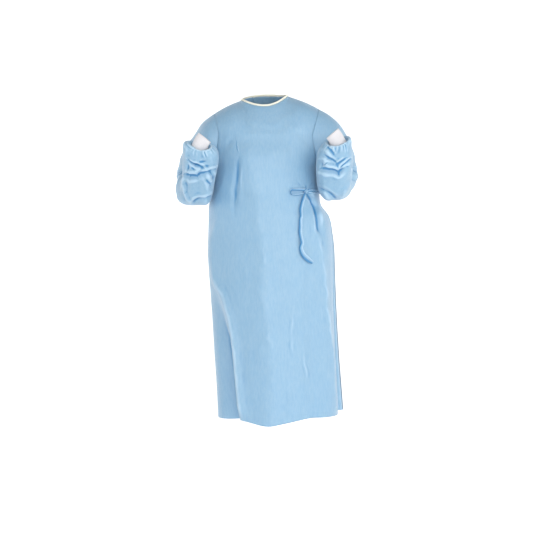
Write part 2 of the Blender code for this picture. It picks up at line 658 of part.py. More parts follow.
def sleeve(name, arm, creases, material):
    rings = sleeve_rings(arm, creases)
    normals = cloth_normals(rings, True, -arm.sign)
    normals[0] = armhole_directions(arm)
    return closed_wall(name, rings, material, ring=True, normals=normals)


def cuff_rings(arm):
    """A short tube that starts on the sleeve's last ring and leans towards the hand."""
    seam = arm.lower[-1]
    first = lower_ring(arm, seam)
    centre = sum(first, Vector()) / RING_POINTS
    turn = math.radians(seam.turn)
    forearm_axis = Vector((0.0, -math.sin(turn), -math.cos(turn)))
    swing = forearm_axis.rotation_difference(arm.cuff_lean.normalized())
    to_seam = Quaternion().slerp(swing, seam.lean)
    rings = []
    middle = centre.copy()
    for k in range(CUFF_RINGS + 1):
        share = k / CUFF_RINGS
        leant = Quaternion().slerp(swing, mix(seam.lean, 1.0, share))
        scale = mix(1.0, CUFF_MOUTH_SCALE, share)
        from_seam = leant @ to_seam.inverted()
        rings.append([middle + from_seam @ ((point - centre) * scale) for point in first])
        middle = middle + (leant @ forearm_axis) * (CUFF_LENGTH / CUFF_RINGS)
    rings[0] = [draw_back(a, b) for a, b in zip(rings[0], rings[1])]
    return rings


# ------------------------------------------------------------------ what is sewn or tied on


def neck_direction(face, s):
    """The way the binding stands on the neck edge: up, and in towards the neck."""
    round_neck = s / NECK_SHARE * math.pi / 2
    inward_x = -BINDING_LEAN.x * math.sin(round_neck)
    inward_y = BINDING_LEAN.y * math.cos(round_neck) * (1 if face == "front" else -1)
    return Vector((inward_x, inward_y, BINDING_LEAN.z)).normalized()


def neck_binding(panels, material):
    """Bias tape round the neck edge, from the inner back panel's edge to the wrap flap's."""
    low_edge, high_edge, low_out, high_out = [], [], [], []
    neck_front, neck_back = NECK_SHARE + NECK_TOLERANCE, NECK_SHARE - NECK_TOLERANCE
    for face, grid, ahead, reach in (
        ("back", panels.inner, 1, neck_back),
        ("front", panels.front, -1, neck_front),
        ("back", panels.outer, 1, neck_back),
    ):
        first, last = grid.edges[0]
        columns = len(grid.rows[0]) - 1
        for j in range(columns + 1)[::ahead]:
            s = mix(first, last, j / columns)
            if abs(s) > reach:
                continue
            up, out = neck_direction(face, s), grid.normals[0][j]
            low_edge.append(grid.rows[0][j] + up * BINDING_GAP + out * (BINDING_THICKNESS - WALL) / 2)
            high_edge.append(low_edge[-1] + up * BINDING_WIDTH)
            low_out.append(out)
            high_out.append((out - up * out.dot(up)).normalized())
    return closed_wall(
        "neck_binding", [low_edge, high_edge], material,
        thickness=BINDING_THICKNESS, normals=[low_out, high_out],
    )


def column_at(x, z):
    """The s at which the front panel passes through x at a height."""
    low, high = -1.0, 1.0
    for _ in range(HALVINGS):
        middle = (low + high) / 2
        if level_point("front", middle, z)[0].x < x:
            low = middle
        else:
            high = middle
    return low


def belt(panels, material):
    """The strip that comes from the wrap flap round the wearer's left side to the knot."""
    last_run = 2 - column_at(KNOT_FOOT_X + BELT_FROM_KNOT, BELT_Z)
    rows = []
    for rise in (BELT_WIDTH / 2, 0.0, -BELT_WIDTH / 2):
        row = row_at(BELT_Z + rise)
        runs = [mix(BELT_START_S, last_run, k / BELT_SEGMENTS) for k in range(BELT_SEGMENTS + 1)]
        rows.append([across_flap(panels, run, row, LIE_GAP + BELT_THICKNESS, BELT_LANDING) for run in runs])
    return closed_wall("belt_band", rows, material, turn=-1, thickness=BELT_THICKNESS)


def knot_centre(panels):
    """The middle of the knot, which lies on the front panel."""
    s, row = column_at(KNOT_FOOT_X, BELT_Z), row_at(BELT_Z)
    foot = on_panel(panels.front, s, row, 0.0)
    outward = on_panel(panels.front, s, row, 1.0) - foot
    reach = Vector(a * b for a, b in zip(outward, KNOT_SIZE)).length
    return foot + outward * (reach + LIE_GAP)


def knot(panels, material):
    made = bmesh.new()
    bmesh.ops.create_icosphere(made, subdivisions=2, radius=1.0)
    centre = knot_centre(panels)
    for vertex in made.verts:
        vertex.co = centre + Vector(a * b for a, b in zip(vertex.co, KNOT_SIZE))
    return add_object("belt_knot", made, material)


def off_front(panels, x, z, stand_off):
    """The point that stands off the front panel and is seen from the front at x and z."""
    row = row_at(z)
    s = column_at(x, z)
    outward = on_panel(panels.front, s, row, 1.0) - on_panel(panels.front, s, row, 0.0)
    foot = column_at(x - outward.x * stand_off, z)
    return on_panel(panels.front, foot, row, stand_off), outward


# The bow's one loop and its one hanging end, from the knot: x and z seen from the front, how far the
# middle of the strip stands off the cloth, and its width.
TiePoint = namedtuple("TiePoint", "x z stand_off width")
LOOP = [
    TiePoint(-0.0076, 0.0042, 0.0085, 0.0060),
    TiePoint(-0.0280, 0.0050, 0.0070, 0.0070),
    TiePoint(-0.0467, 0.0050, 0.0060, 0.0070),
    TiePoint(-0.0536, 0.0021, 0.0060, 0.0070),
    TiePoint(-0.0565, -0.0048, 0.0060, 0.0070),
    TiePoint(-0.0536, -0.0117, 0.0060, 0.0070),
    TiePoint(-0.0467, -0.0146, 0.0060, 0.0070),
    TiePoint(-0.0280, -0.0140, 0.0070, 0.0070),
    TiePoint(-0.0076, -0.0095, 0.0085, 0.0060),
]
HANGING_END = [
    TiePoint(-0.0036, -0.0120, 0.0070, 0.0060),
    TiePoint(-0.0090, -0.0250, 0.0035, 0.0070),
    TiePoint(-0.0145, -0.0430, 0.0030, 0.0075),
    TiePoint(-0.0178, -0.0690, 0.0030, 0.0080),
    TiePoint(-0.0170, -0.0900, 0.0032, 0.0080),
    TiePoint(-0.0200, -0.1030, 0.0036, 0.0080),
    TiePoint(-0.0208, -0.1300, 0.0036, 0.0085),
    TiePoint(-0.0215, -0.1500, 0.0036, 0.0085),
    TiePoint(-0.0180, -0.1740, 0.0036, 0.0090),
    TiePoint(-0.0155, -0.1880, 0.0036, 0.0090),
    TiePoint(-0.0190, -0.2070, 0.0040, 0.0100),
    TiePoint(-0.0115, -0.2280, 0.0040, 0.0140),
    TiePoint(0.0036, -0.2440, 0.0040, 0.0170),
    TiePoint(0.0225, -0.2590, 0.0040, 0.0140),
]


def tie(name, table, upright, thickness, panels, material):
    """A strip on the front panel. upright strips stand on edge, others lie flat on the cloth."""
    centre = knot_centre(panels)
    route = [off_front(panels, centre.x + p.x, centre.z + p.z, p.stand_off) for p in table]
    points = through([point for point, _ in route], TIE_STEPS)
    outwards = through([outward for _, outward in route], TIE_STEPS)
    widths = through([p.width for p in table], TIE_STEPS)
    across, facing = [], []
    for k, ahead in enumerate(outwards):
        run = (points[min(k + 1, len(points) - 1)] - points[max(k - 1, 0)]).normalized()
        flat = run.cross(ahead).normalized()
        level = flat.cross(run).normalized()
        across.append(level if upright else flat)
        facing.append(flat if upright else level)
    return ribbon(name, points, across, widths, thickness, facing, material)


def neck_tab(panels, material):
    """Plain hook-and-loop tab from the wrap flap to the inner back panel, under the neck binding."""
    places = [mix(TAB_START_S, TAB_END_S, k / TAB_SEGMENTS) for k in range(TAB_SEGMENTS + 1)]
    rows = [[across_flap(panels, s, row, LIE_GAP + WALL, TAB_LANDING) for s in places] for row in TAB_ROWS]
    return closed_wall("neck_tab", rows, material, turn=-1)


# ------------------------------------------------------------------ the gown

for old in list(bpy.data.objects):
    bpy.data.objects.remove(old)

blue_cloth = finish("blue_nonwoven", (0.40, 0.64, 0.84), 0.75)
blue_tie = finish("blue_tie", (0.36, 0.60, 0.82), 0.75)
white_knit = finish("white_knit", (0.88, 0.87, 0.88), 0.90)
cream_tape = finish("cream_tape", (0.91, 0.91, 0.76), 0.80)

gown_panels = Panels(
    front=panel_grid(
        "front", FRONT_COLUMNS,
        lambda row: -1.0,
        lambda row: 1.0,
        lambda s, row: 0.0,
    ),
    outer=panel_grid(
        "back", OUTER_BACK_COLUMNS,
        lambda row: -1.0,
        lambda row: smooth(FLAP_EDGES, "row", row).outer,
        lambda s, row: flap_lift(s, row, smooth(FLAP_EDGES, "row", row)),
    ),
    inner=panel_grid(
        "back", INNER_BACK_COLUMNS,
        lambda row: smooth(FLAP_EDGES, "row", row).inner,
        lambda row: 1.0,
        lambda s, row: 0.0,
    ),
)
closed_wall("front_panel", gown_panels.front.rows, blue_cloth, normals=gown_panels.front.normals)
closed_wall("back_panel_outer", gown_panels.outer.rows, blue_cloth, normals=gown_panels.outer.normals)
closed_wall("back_panel_inner", gown_panels.inner.rows, blue_cloth, normals=gown_panels.inner.normals)
for side, arm, creases in (("left", LEFT_ARM, LEFT_CREASES), ("right", RIGHT_ARM, RIGHT_CREASES)):
    sleeve(f"sleeve_{side}", arm, creases, blue_cloth)
    closed_wall(f"cuff_{side}", cuff_rings(arm), white_knit, ring=True, turn=-arm.sign)
neck_binding(gown_panels, cream_tape)
neck_tab(gown_panels, blue_tie)
belt(gown_panels, blue_tie)
knot(gown_panels, blue_tie)
tie("belt_loop", LOOP, True, LOOP_THICKNESS, gown_panels, blue_tie)
tie("belt_end", HANGING_END, False, WALL, gown_panels, blue_tie)
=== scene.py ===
"""A wrap-around surgical gown of blue nonwoven cloth, worn and hollow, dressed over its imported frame.

Metres, +Z up. The front faces -Y and the wearer's left is +X. The sections follow the gown as it is
cut and sewn: front, backs, sleeves, cuffs, neck tape, neck tab, belt, seams, and last the studio.
"""

import math
from collections import namedtuple

import bmesh
import bpy
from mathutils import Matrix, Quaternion, Vector, noise


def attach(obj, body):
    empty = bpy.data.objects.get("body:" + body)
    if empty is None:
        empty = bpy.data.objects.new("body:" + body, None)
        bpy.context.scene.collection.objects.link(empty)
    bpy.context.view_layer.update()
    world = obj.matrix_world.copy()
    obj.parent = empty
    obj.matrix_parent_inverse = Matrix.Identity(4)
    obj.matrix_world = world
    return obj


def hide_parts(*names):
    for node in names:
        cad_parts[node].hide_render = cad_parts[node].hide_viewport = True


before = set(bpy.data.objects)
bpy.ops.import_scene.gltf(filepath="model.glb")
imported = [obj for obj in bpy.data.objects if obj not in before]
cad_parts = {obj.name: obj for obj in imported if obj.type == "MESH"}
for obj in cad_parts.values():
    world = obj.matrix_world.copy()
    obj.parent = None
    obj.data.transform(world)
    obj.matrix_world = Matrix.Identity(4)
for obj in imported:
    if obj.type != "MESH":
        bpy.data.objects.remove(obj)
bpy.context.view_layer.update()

# ================================================================== front panel
# One width of SMS nonwoven from side seam to side seam, with the neckline and both armholes cut out.
# It hangs from the shoulders, is drawn in under the arms, and falls in long soft folds to the shins.

YOKE_ROWS, ARMHOLE_ROWS, SKIRT_ROWS = 6, 4, 16     # the rows of the gown's pattern, top to bottom
UNDERARM_ROW = YOKE_ROWS + ARMHOLE_ROWS
HEM_ROW = UNDERARM_ROW + SKIRT_ROWS
YOKE_STEPS, ARMHOLE_STEPS, SKIRT_STEPS = 5, 6, 11  # steps of the mesh from one row to the next
FRONT_COLUMNS = 190
CLOTH = 0.0005           # the cloth's thickness
SEAM_GAP = 0.0003        # what stays clear between two panels at their seam

CHEST_Z = -0.140
UNDERARM_Z = -0.262
HEM_Z = -1.160
ARMHOLE_FRONT_Y = -0.095
ARMHOLE_BACK_Y = 0.098
CHEST_SWEEP = math.radians(46)
SWEEP_DROP = 0.45        # how far down the broad face of the chest turns round into the skirt
SWEEP_POWER = 4
ARMHOLE_POWER = 3
SEAM_CALM_POWER = 8
NECK_SHARE = 6 / 14
NECK_FRONT = Vector((0.0, -0.0795, -0.0405))
NECK_BACK = Vector((0.0, 0.0620, 0.0040))
SHOULDER_BULGE = 0.0038
YOKE_SOFTNESS = 0.055    # over how much of s the neck's corners are rounded off
NECKLINE_FLATNESS = 0.75
NECKLINE_FLAT_TO = 0.8
NECKLINE_LEAN = 0.8

Shoulder = namedtuple("Shoulder", "sign neck_x neck_z tip_x tip_z")
LEFT_SHOULDER = Shoulder(1, 0.0850, 0.0005, 0.1950, -0.0455)
RIGHT_SHOULDER = Shoulder(-1, 0.0865, -0.0145, 0.1800, -0.0610)

MM = 1000                # the tables give their lengths in millimetres


def measured(kind, units, *rows):
    """A table with named columns, each of which is divided by its unit, such as MM."""
    return [kind(*(value / unit for value, unit in zip(row, units))) for row in rows]


# Level sections of the body. flap is how far the wrap flap's free edge stands off what it lies on.
Section = namedtuple("Section", "z right left front back flap")
BODY = measured(
    Section, [MM] * 6,
    (-140, -162, 168, -128, 125, 3.6),
    (-200, -170, 178, -138, 128, 3.6),
    (-262, -182, 190, -142, 126, 3.6),
    (-345, -190, 196, -141, 116, 3.6),
    (-390, -201, 202.5, -146, 120, 4),
    (-430, -202.5, 229, -149, 126, 5),
    (-490, -203.5, 240.6, -152, 134, 7),
    (-554, -204.3, 245, -156, 141, 9),
    (-660, -200, 246.6, -164, 149, 11),
    (-806, -190.2, 250, -174, 155, 14),
    (-930, -183, 255.5, -182, 160, 16),
    (-1036, -176, 261.5, -188, 164, 18),
    (-1160, -170, 267, -195, 168, 22),
)
HemPoint = namedtuple("HemPoint", "s front back")
HEM = measured(
    HemPoint, (1, MM, MM),
    (-1, 0, 0),
    (-0.55, 8, 4),
    (-0.4, 14, 6),
    (-0.12, 1, 3),
    (0.05, 9, 0),
    (0.3, 22, 4),
    (0.6, 19, 12),
    (1, 11, 24),
)

# The large folds: their height off the cloth at the top and the bottom, and their places as (z, x).
FoldLine = namedtuple("FoldLine", "face top bottom width line")


def fold_lines(face, *rows):
    """The folds of one face, each from its two heights, its width and its places, in millimetres."""
    return [
        FoldLine(face, top / MM, bottom / MM, width / MM, [(z / MM, x / MM) for z, x in line])
        for top, bottom, width, *line in rows
    ]


FOLDS = fold_lines(
    "front",
    (6, 16, 20, (-410, -156), (-510, -187), (-570, -190), (-650, -175), (-700, -150), (-780, -123),
     (-860, -109), (-950, -100), (-1160, -78)),
    (-4, -75, 26, (-660, -196), (-860, -150), (-1000, -138), (-1180, -126)),
    (5, 10, 45, (-160, -95), (-380, -51), (-560, -27), (-740, -27), (-1000, 4), (-1180, 12)),
    (4, 3, 20, (-190, -150), (-340, -168), (-460, -174)),
    (-4, -2, 14, (-200, -86), (-300, -99), (-420, -106)),
    (-14, -4, 13, (-330, 142), (-370, 168), (-400, 181), (-430, 187), (-520, 194)),
    (6, 10, 20, (-440, 205), (-600, 208), (-840, 226), (-1160, 250)),
    (-3, -10, 30, (-500, 166), (-760, 166), (-1180, 175)),
) + fold_lines(
    "back",
    (-4, -12, 36, (-400, -130), (-800, -115), (-1180, -100)),
    (4, 14, 38, (-360, -50), (-800, -40), (-1180, -20)),
    (-4, -12, 36, (-380, 30), (-800, 45), (-1180, 65)),
    (3, 12, 38, (-380, 110), (-800, 125), (-1180, 150)),
    (-6, -3, 30, (-120, -20), (-240, 10), (-360, 40)),
)
FOLD_FADE = 0.07

# The smaller creases: troughs where depth is above 0 and ridges where it is below, seen from the
# front or the back as (x, z). lip is how far the cloth on the line's left hangs over it, as a share
# of its depth.
Crease = namedtuple("Crease", "face depth width lip points")


def crease_lines(face, *rows):
    """The creases of one face, each from its depth, width, lip and points, in millimetres."""
    return [
        Crease(face, depth / MM, width / MM, lip, [(x / MM, z / MM) for x, z in points])
        for depth, width, lip, *points in rows
    ]


BODY_CREASES = crease_lines(
    "front",
    # the soft swags that hang from the neck, and the short pulls beside the arms
    (1.6, 12, 0, (-37, -62), (-9, -83), (26, -90), (61, -69), (86, -40)),
    (1.8, 18, 0, (-65, -68), (-34, -105), (12, -129), (64, -115), (106, -80)),
    (1.6, 10, 0, (110, -30), (100, -46), (89, -67)),
    (1.8, 9, 0, (-160, -181), (-136, -174), (-108, -150)),
    (2.4, 10, 0, (-171, -213), (-150, -202), (-112, -158)),
    (1.5, 10, 0, (85, -85), (112, -106), (140, -122)),
    (1.8, 9, 0, (98, -125), (136, -138), (168, -160)),
    (2.2, 9, 0, (120, -146), (150, -166), (176, -192)),
    (1.4, 26, 0, (-114, -168), (-51, -160), (19, -163), (88, -156)),
    (-2, 30, 0, (-95, -212), (10, -214), (105, -206)),
    # under the wearer's right arm
    (1.4, 9, 0, (-150, -205), (-159, -265), (-166, -353), (-170, -400)),
    (-2, 10, 0, (-126, -209), (-141, -272), (-152, -342)),
    (1.6, 8, 0, (-90, -215), (-98, -301), (-104, -353), (-108, -430)),
    (-1.2, 9, 0, (-76, -225), (-83, -300), (-88, -370)),
    # the crests of the two long ridges
    (-2.2, 9, 0, (-156, -420), (-187, -506), (-192, -574), (-177, -651), (-147, -705), (-123, -775),
     (-109, -862), (-100, -947), (-91, -1035), (-80, -1150)),
    (-3.6, 7, 0, (190, -487), (205, -604), (217, -749), (226, -835), (239, -927), (250, -1150)),
    # where the front turns from its broad face to the wearer's right side
    (0.5, 24, 11, (-88, -211), (-51, -377), (-41, -482), (-27, -562), (-27, -744), (-10, -886), (4, -1001),
     (12, -1180)),
    # round the belt's knot
    (2, 4, 0, (148, -312), (148, -334)),
    (6.5, 6, 0, (138, -328), (153, -350), (169, -369), (181, -396), (187, -425), (191, -480)),
    (-3.5, 12, 0, (164, -360), (187, -392), (201, -433), (222, -470)),
    (3, 10, 0, (194, -450), (212, -559)),
    (1.6, 10, 0, (162, -391), (162, -545)),
    (2.6, 6, 0, (160, -357), (184, -367)),
    (1.2, 6, 0, (80, -322), (122, -334)),
    (1.2, 6, 0, (104, -298), (136, -324)),
    (1.4, 6, 0, (176, -300), (160, -326)),
    # down the skirt
    (-1.4, 5, 0, (95, -760), (96, -796), (98, -887), (102, -930)),
    (-1.8, 5, 0, (132, -850), (137, -899), (144, -950), (151, -998), (158, -1040)),
    (-1.2, 10, 0, (-56, -876), (-44, -1058)),
    (1, 8, 0, (-25, -970), (-16, -1086)),
    (0.8, 12, 0, (50, -560), (58, -700), (60, -820)),
    (0.8, 10, 0, (-90, -560), (-80, -660), (-74, -760)),
    (1, 8, 0, (72, -980), (80, -1080), (84, -1160)),
) + crease_lines(
    "back",
    # the back: pulls from the neck tab and from the belt, and the folds of the skirt
    (1.8, 18, 0, (60, -20), (90, -70), (130, -110)),
    (1.6, 19, 0, (-60, -30), (-95, -85), (-140, -130)),
    (1.4, 22, 0, (-50, -60), (0, -85), (50, -55)),
    (-1.4, 35, 0, (-80, -110), (0, -140), (90, -110)),
    (2.3, 16, 0, (165, -190), (130, -235), (100, -300)),
    (2.3, 16, 0, (-160, -200), (-130, -250), (-105, -320)),
    (3, 14, 0, (130, -352), (80, -372), (30, -410)),
    (2.3, 13, 0, (125, -330), (80, -325), (20, -340)),
    (2.3, 16, 0, (120, -370), (105, -440), (100, -540)),
    (-1.9, 18, 0, (-50, -420), (-46, -600), (-40, -800), (-22, -1150)),
    (2.1, 18, 0, (34, -480), (42, -700), (50, -900)),
    (1.9, 18, 0, (-128, -450), (-122, -640), (-112, -900)),
    (-1.8, 18, 0, (118, -560), (126, -800), (148, -1150)),
    (1.4, 14, 0, (-78, -880), (-66, -1060)),
    (1.2, 14, 0, (86, -760), (92, -900)),
)
SIDE_RISE = 0.30         # how much of a crease's depth the cloth rises beside it
SIDE_STEP = 2.0          # and how far off, in widths
CREASE_REACH = 3.5       # widths past which a crease ends
CREASE_END = 0.030       # least length over which it fades in and out
CREASE_END_SHARE = 0.35
CREASE_PAST_END = 3      # and the part of that length which lies past its end
WANDER = 0.0050          # how far its line strays, and how much its depth varies
WANDER_SCALE = 26.0
WANDER_LAYER = Vector((0.0, 0.0, 5.0))
UNEVEN = 0.9
UNEVEN_SCALE = 0.7
UNEVEN_LAYER = Vector((0.0, 0.0, 9.0))
LIP_STEP, LIP_WIDTH = 1.4, 1.1         # where the cloth bulges over a crease, in its widths
LIP_DIP, DIP_STEP, DIP_WIDTH = 0.5, 0.9, 1.3
CRUMPLE = 0.0009         # unevenness of the cloth between the folds
CRUMPLE_SCALE = Vector((17.0, 17.0, 6.0))
FINE_CRUMPLE = 0.0003
FINE_CRUMPLE_SCALE = Vector((52.0, 52.0, 26.0))
SEAM_VALLEY = 0.0008     # how far the cloth dips into a seam
SEAM_VALLEY_WIDTH = 0.006
HOLLOW_REACH = 2         # points of the mesh from which a hollow is felt
HOLLOW_SPAN = 0.007      # the distance to which its depth is brought
HOLLOW_LIMIT = 2.5


def smooth(table, key, at):
    """Read every column of a table at a key that lies between two rows, on a smooth curve."""
    keys = [getattr(row, key) for row in table]
    if keys[0] > keys[-1]:
        keys = [-value for value in keys]
        at = -at
    at = min(max(at, keys[0]), keys[-1])
    last = len(table) - 1
    low = max(k for k in range(last) if keys[k] <= at)
    span = keys[low + 1] - keys[low]
    share = (at - keys[low]) / span
    before, after = max(low - 1, 0), min(low + 2, last)
    lead, trail = keys[low + 1] - keys[before], keys[after] - keys[low]
    start = 2 * share**3 - 3 * share**2 + 1
    leave = (share**3 - 2 * share**2 + share) * span / lead
    end = 3 * share**2 - 2 * share**3
    arrive = (share**3 - share**2) * span / trail
    rows = zip(table[before], table[low], table[low + 1], table[after])
    return table[0]._make(
        start * here + leave * (following - ahead) + end * following + arrive * (last_one - here)
        for ahead, here, following, last_one in rows
    )


def mix(a, b, share):
    return a + (b - a) * share


def ease(value, low, high):
    """0 below low, 1 above high, and a soft S between them."""
    share = min(max((value - low) / (high - low), 0.0), 1.0)
    return share * share * (3 - 2 * share)


def top_edge(face, s):
    """A panel's upper edge: half the neckline between the shoulders, then the shoulder seams."""
    shoulder = LEFT_SHOULDER if s >= 0 else RIGHT_SHOULDER
    share = abs(s)
    if share >= NECK_SHARE:
        out = (share - NECK_SHARE) / (1 - NECK_SHARE)
        x = mix(shoulder.neck_x, shoulder.tip_x, out)
        z = mix(shoulder.neck_z, shoulder.tip_z, out) + 4 * SHOULDER_BULGE * out * (1 - out)
        return Vector((shoulder.sign * x, 0.0, z))
    round_neck = share / NECK_SHARE * math.pi / 2
    middle = NECK_FRONT if face == "front" else NECK_BACK
    return Vector((
        shoulder.sign * shoulder.neck_x * math.sin(round_neck),
        middle.y * math.cos(round_neck),
        mix(middle.z, shoulder.neck_z, math.sin(round_neck) ** 2),
    ))


def soft_top_edge(face, s, row):
    """The upper edge as the cloth below it feels it, with the neck's corners rounded off."""
    spread = YOKE_SOFTNESS * ease(row, 0.0, 2.0) * min(1.0, (1 - abs(s)) / (1 - NECK_SHARE))
    return sum((top_edge(face, s + k * spread) for k in (-2, -1, 0, 1, 2)), Vector()) / 5


def level_point(face, s, z):
    """A point of the body's level section, at s across the panel, with its outward direction."""
    section = smooth(BODY, "z", z)
    armhole = math.sqrt(max(0.0, 1 - max(0.0, (CHEST_Z - z) / (CHEST_Z - UNDERARM_Z)) ** 2))
    sweep = mix(math.pi / 2, CHEST_SWEEP, armhole)
    inner_sweep = mix(CHEST_SWEEP, math.pi / 2, ease(CHEST_Z - z, 0.0, SWEEP_DROP))
    deep, edge = (section.front, ARMHOLE_FRONT_Y) if face == "front" else (section.back, ARMHOLE_BACK_Y)
    edge = edge * armhole
    angle = s * inner_sweep + math.copysign(abs(s) ** SWEEP_POWER, s) * (sweep - inner_sweep)
    middle, half = (section.left + section.right) / 2, (section.left - section.right) / 2
    x = middle + half * math.sin(angle) / math.sin(sweep)
    y = edge + (deep - edge) * (math.cos(angle) - math.cos(sweep)) / (1 - math.cos(sweep))
    outward = Vector((math.sin(angle) / half, math.cos(angle) / deep, 0.0)).normalized()
    return Vector((x, y, z)), outward


def fold_height(face, x, z):
    """How far the large folds move the cloth out, or in."""
    height = 0.0
    for fold in FOLDS:
        top, bottom = fold.line[0][0], fold.line[-1][0]
        if fold.face != face or not bottom < z < top:
            continue
        k = max(i for i in range(len(fold.line) - 1) if fold.line[i][0] >= z)
        (z1, x1), (z2, x2) = fold.line[k], fold.line[k + 1]
        place = mix(x1, x2, (z - z1) / (z2 - z1))
        grown = mix(fold.top, fold.bottom, (z - top) / (bottom - top))
        fade = ease(top - z, 0.0, FOLD_FADE)
        if bottom >= HEM_Z:
            fade *= ease(z - bottom, 0.0, FOLD_FADE)
        height += grown * fade * math.exp(-(((x - place) / fold.width) ** 2))
    return height


def crease_height(creases, face, x, z):
    """How far the small creases move the cloth: in along each line, and a little out beside it."""
    height = 0.0
    place = Vector((x, z, 0.0)) * WANDER_SCALE
    x += WANDER * noise.noise(place)
    z += WANDER * noise.noise(place + WANDER_LAYER)
    strength = 1 + UNEVEN * noise.noise(place * UNEVEN_SCALE + UNEVEN_LAYER)
    for crease in creases:
        if crease.face != face:
            continue
        reach = crease.width * CREASE_REACH
        xs, zs = [p[0] for p in crease.points], [p[1] for p in crease.points]
        if not (min(xs) - reach < x < max(xs) + reach and min(zs) - reach < z < max(zs) + reach):
            continue
        nearest, along, run, side = 1.0, 0.0, 0.0, 1.0
        for (x1, z1), (x2, z2) in zip(crease.points, crease.points[1:]):
            dx, dz = x2 - x1, z2 - z1
            length = math.hypot(dx, dz)
            share = min(max(((x - x1) * dx + (z - z1) * dz) / length**2, 0.0), 1.0)
            off = math.hypot(x - x1 - share * dx, z - z1 - share * dz)
            if off < nearest:
                nearest, along = off, run + share * length
                side = math.copysign(1.0, dx * (z - z1) - dz * (x - x1))
            run += length
        fade_length = min(max(CREASE_END, CREASE_END_SHARE * run), run / 2)
        past_end = -fade_length / CREASE_PAST_END
        fade = ease(along, past_end, fade_length) * ease(run - along, past_end, fade_length)
        off = nearest / crease.width
        profile = SIDE_RISE * math.exp(-((off - SIDE_STEP) ** 2)) - math.exp(-(off**2))
        bulge = math.exp(-(((side * off - LIP_STEP) / LIP_WIDTH) ** 2))
        dip = LIP_DIP * math.exp(-(((side * off + DIP_STEP) / DIP_WIDTH) ** 2))
        profile += crease.lip * (bulge - dip)
        height += strength * crease.depth * fade * profile
    return height


def crumple(point):
    """The slight unevenness that cloth has everywhere."""
    broad = Vector(a * b for a, b in zip(point, CRUMPLE_SCALE))
    fine = Vector(a * b for a, b in zip(point, FINE_CRUMPLE_SCALE))
    return CRUMPLE * noise.noise(broad) + FINE_CRUMPLE * noise.noise(fine)


def body_point(face, s, row, lift=0.0):
    """A point of the front or the back, s across it and row down it, lift outside the cloth's own place."""
    if row <= YOKE_ROWS:
        chest, chest_out = level_point(face, s, CHEST_Z)
        top = soft_top_edge(face, s, row)
        turn = row / YOKE_ROWS * math.pi / 2
        flat = NECKLINE_FLATNESS * (1 - ease(abs(s), 0.0, NECKLINE_FLAT_TO))
        forward = mix(math.sin(turn), row / YOKE_ROWS, flat)
        down = mix(1 - math.cos(turn), row / YOKE_ROWS, flat)
        point = Vector((mix(top.x, chest.x, down), mix(top.y, chest.y, forward), mix(top.z, chest.z, down)))
        upright = mix(forward, 1.0, NECKLINE_LEAN * flat)
        outward = mix(Vector((0.0, 0.0, 1.0)), chest_out, upright).normalized()
        calm = ease(row, 0.0, 1.0)
    else:
        if row <= UNDERARM_ROW:
            share = (row - YOKE_ROWS) / ARMHOLE_ROWS
            z = mix(CHEST_Z, UNDERARM_Z, mix(share, math.sin(share * math.pi / 2), abs(s) ** ARMHOLE_POWER))
        else:
            hem = smooth(HEM, "s", s)
            hem_z = HEM_Z + (hem.front if face == "front" else hem.back)
            z = mix(UNDERARM_Z, hem_z, (row - UNDERARM_ROW) / SKIRT_ROWS)
        point, outward = level_point(face, s, z)
        calm = 1 - abs(s) ** SEAM_CALM_POWER
    large = fold_height(face, point.x, point.z) * (1.0 if row <= YOKE_ROWS else calm)
    small = crease_height(BODY_CREASES, face, point.x, point.z) + crumple(point)
    return point + outward * (lift + large + small * calm)


def grid_normals(rows, ring, turn):
    """The outward direction at each point of a grid of points."""
    last_row, count = len(rows) - 1, len(rows[0])
    normals = []
    for i, row in enumerate(rows):
        found = []
        for j in range(count):
            if ring:
                across = row[(j + 1) % count] - row[j - 1]
            else:
                across = row[min(j + 1, count - 1)] - row[max(j - 1, 0)]
            down = rows[min(i + 1, last_row)][j] - rows[max(i - 1, 0)][j]
            found.append(turn * down.cross(across).normalized())
        normals.append(found)
    return normals


def hollows(rows, ring, turn):
    """How far each point lies below the cloth around it, in millimetres: above 0 down in a crease."""
    last_row, count = len(rows) - 1, len(rows[0])
    normals = grid_normals(rows, ring, turn)
    found = []
    for i, row in enumerate(rows):
        above, below = rows[max(i - HOLLOW_REACH, 0)], rows[min(i + HOLLOW_REACH, last_row)]
        for j, point in enumerate(row):
            if ring:
                before, after = row[j - HOLLOW_REACH], row[(j + HOLLOW_REACH) % count]
            else:
                before, after = row[max(j - HOLLOW_REACH, 0)], row[min(j + HOLLOW_REACH, count - 1)]
            hollow = 0.0
            for one, other in ((above[j], below[j]), (before, after)):
                near, far = (point - one).length, (point - other).length
                if near and far:
                    depth = (mix(one, other, near / (near + far)) - point).dot(normals[i][j])
                    hollow += depth * min(HOLLOW_SPAN**2 / (near * far), HOLLOW_LIMIT)
            found.append(hollow * MM)
    return found


def add_object(name, data):
    """Put an object round a mesh, a lamp or a camera into the scene."""
    made = bpy.data.objects.new(name, data)
    bpy.context.scene.collection.objects.link(made)
    return made


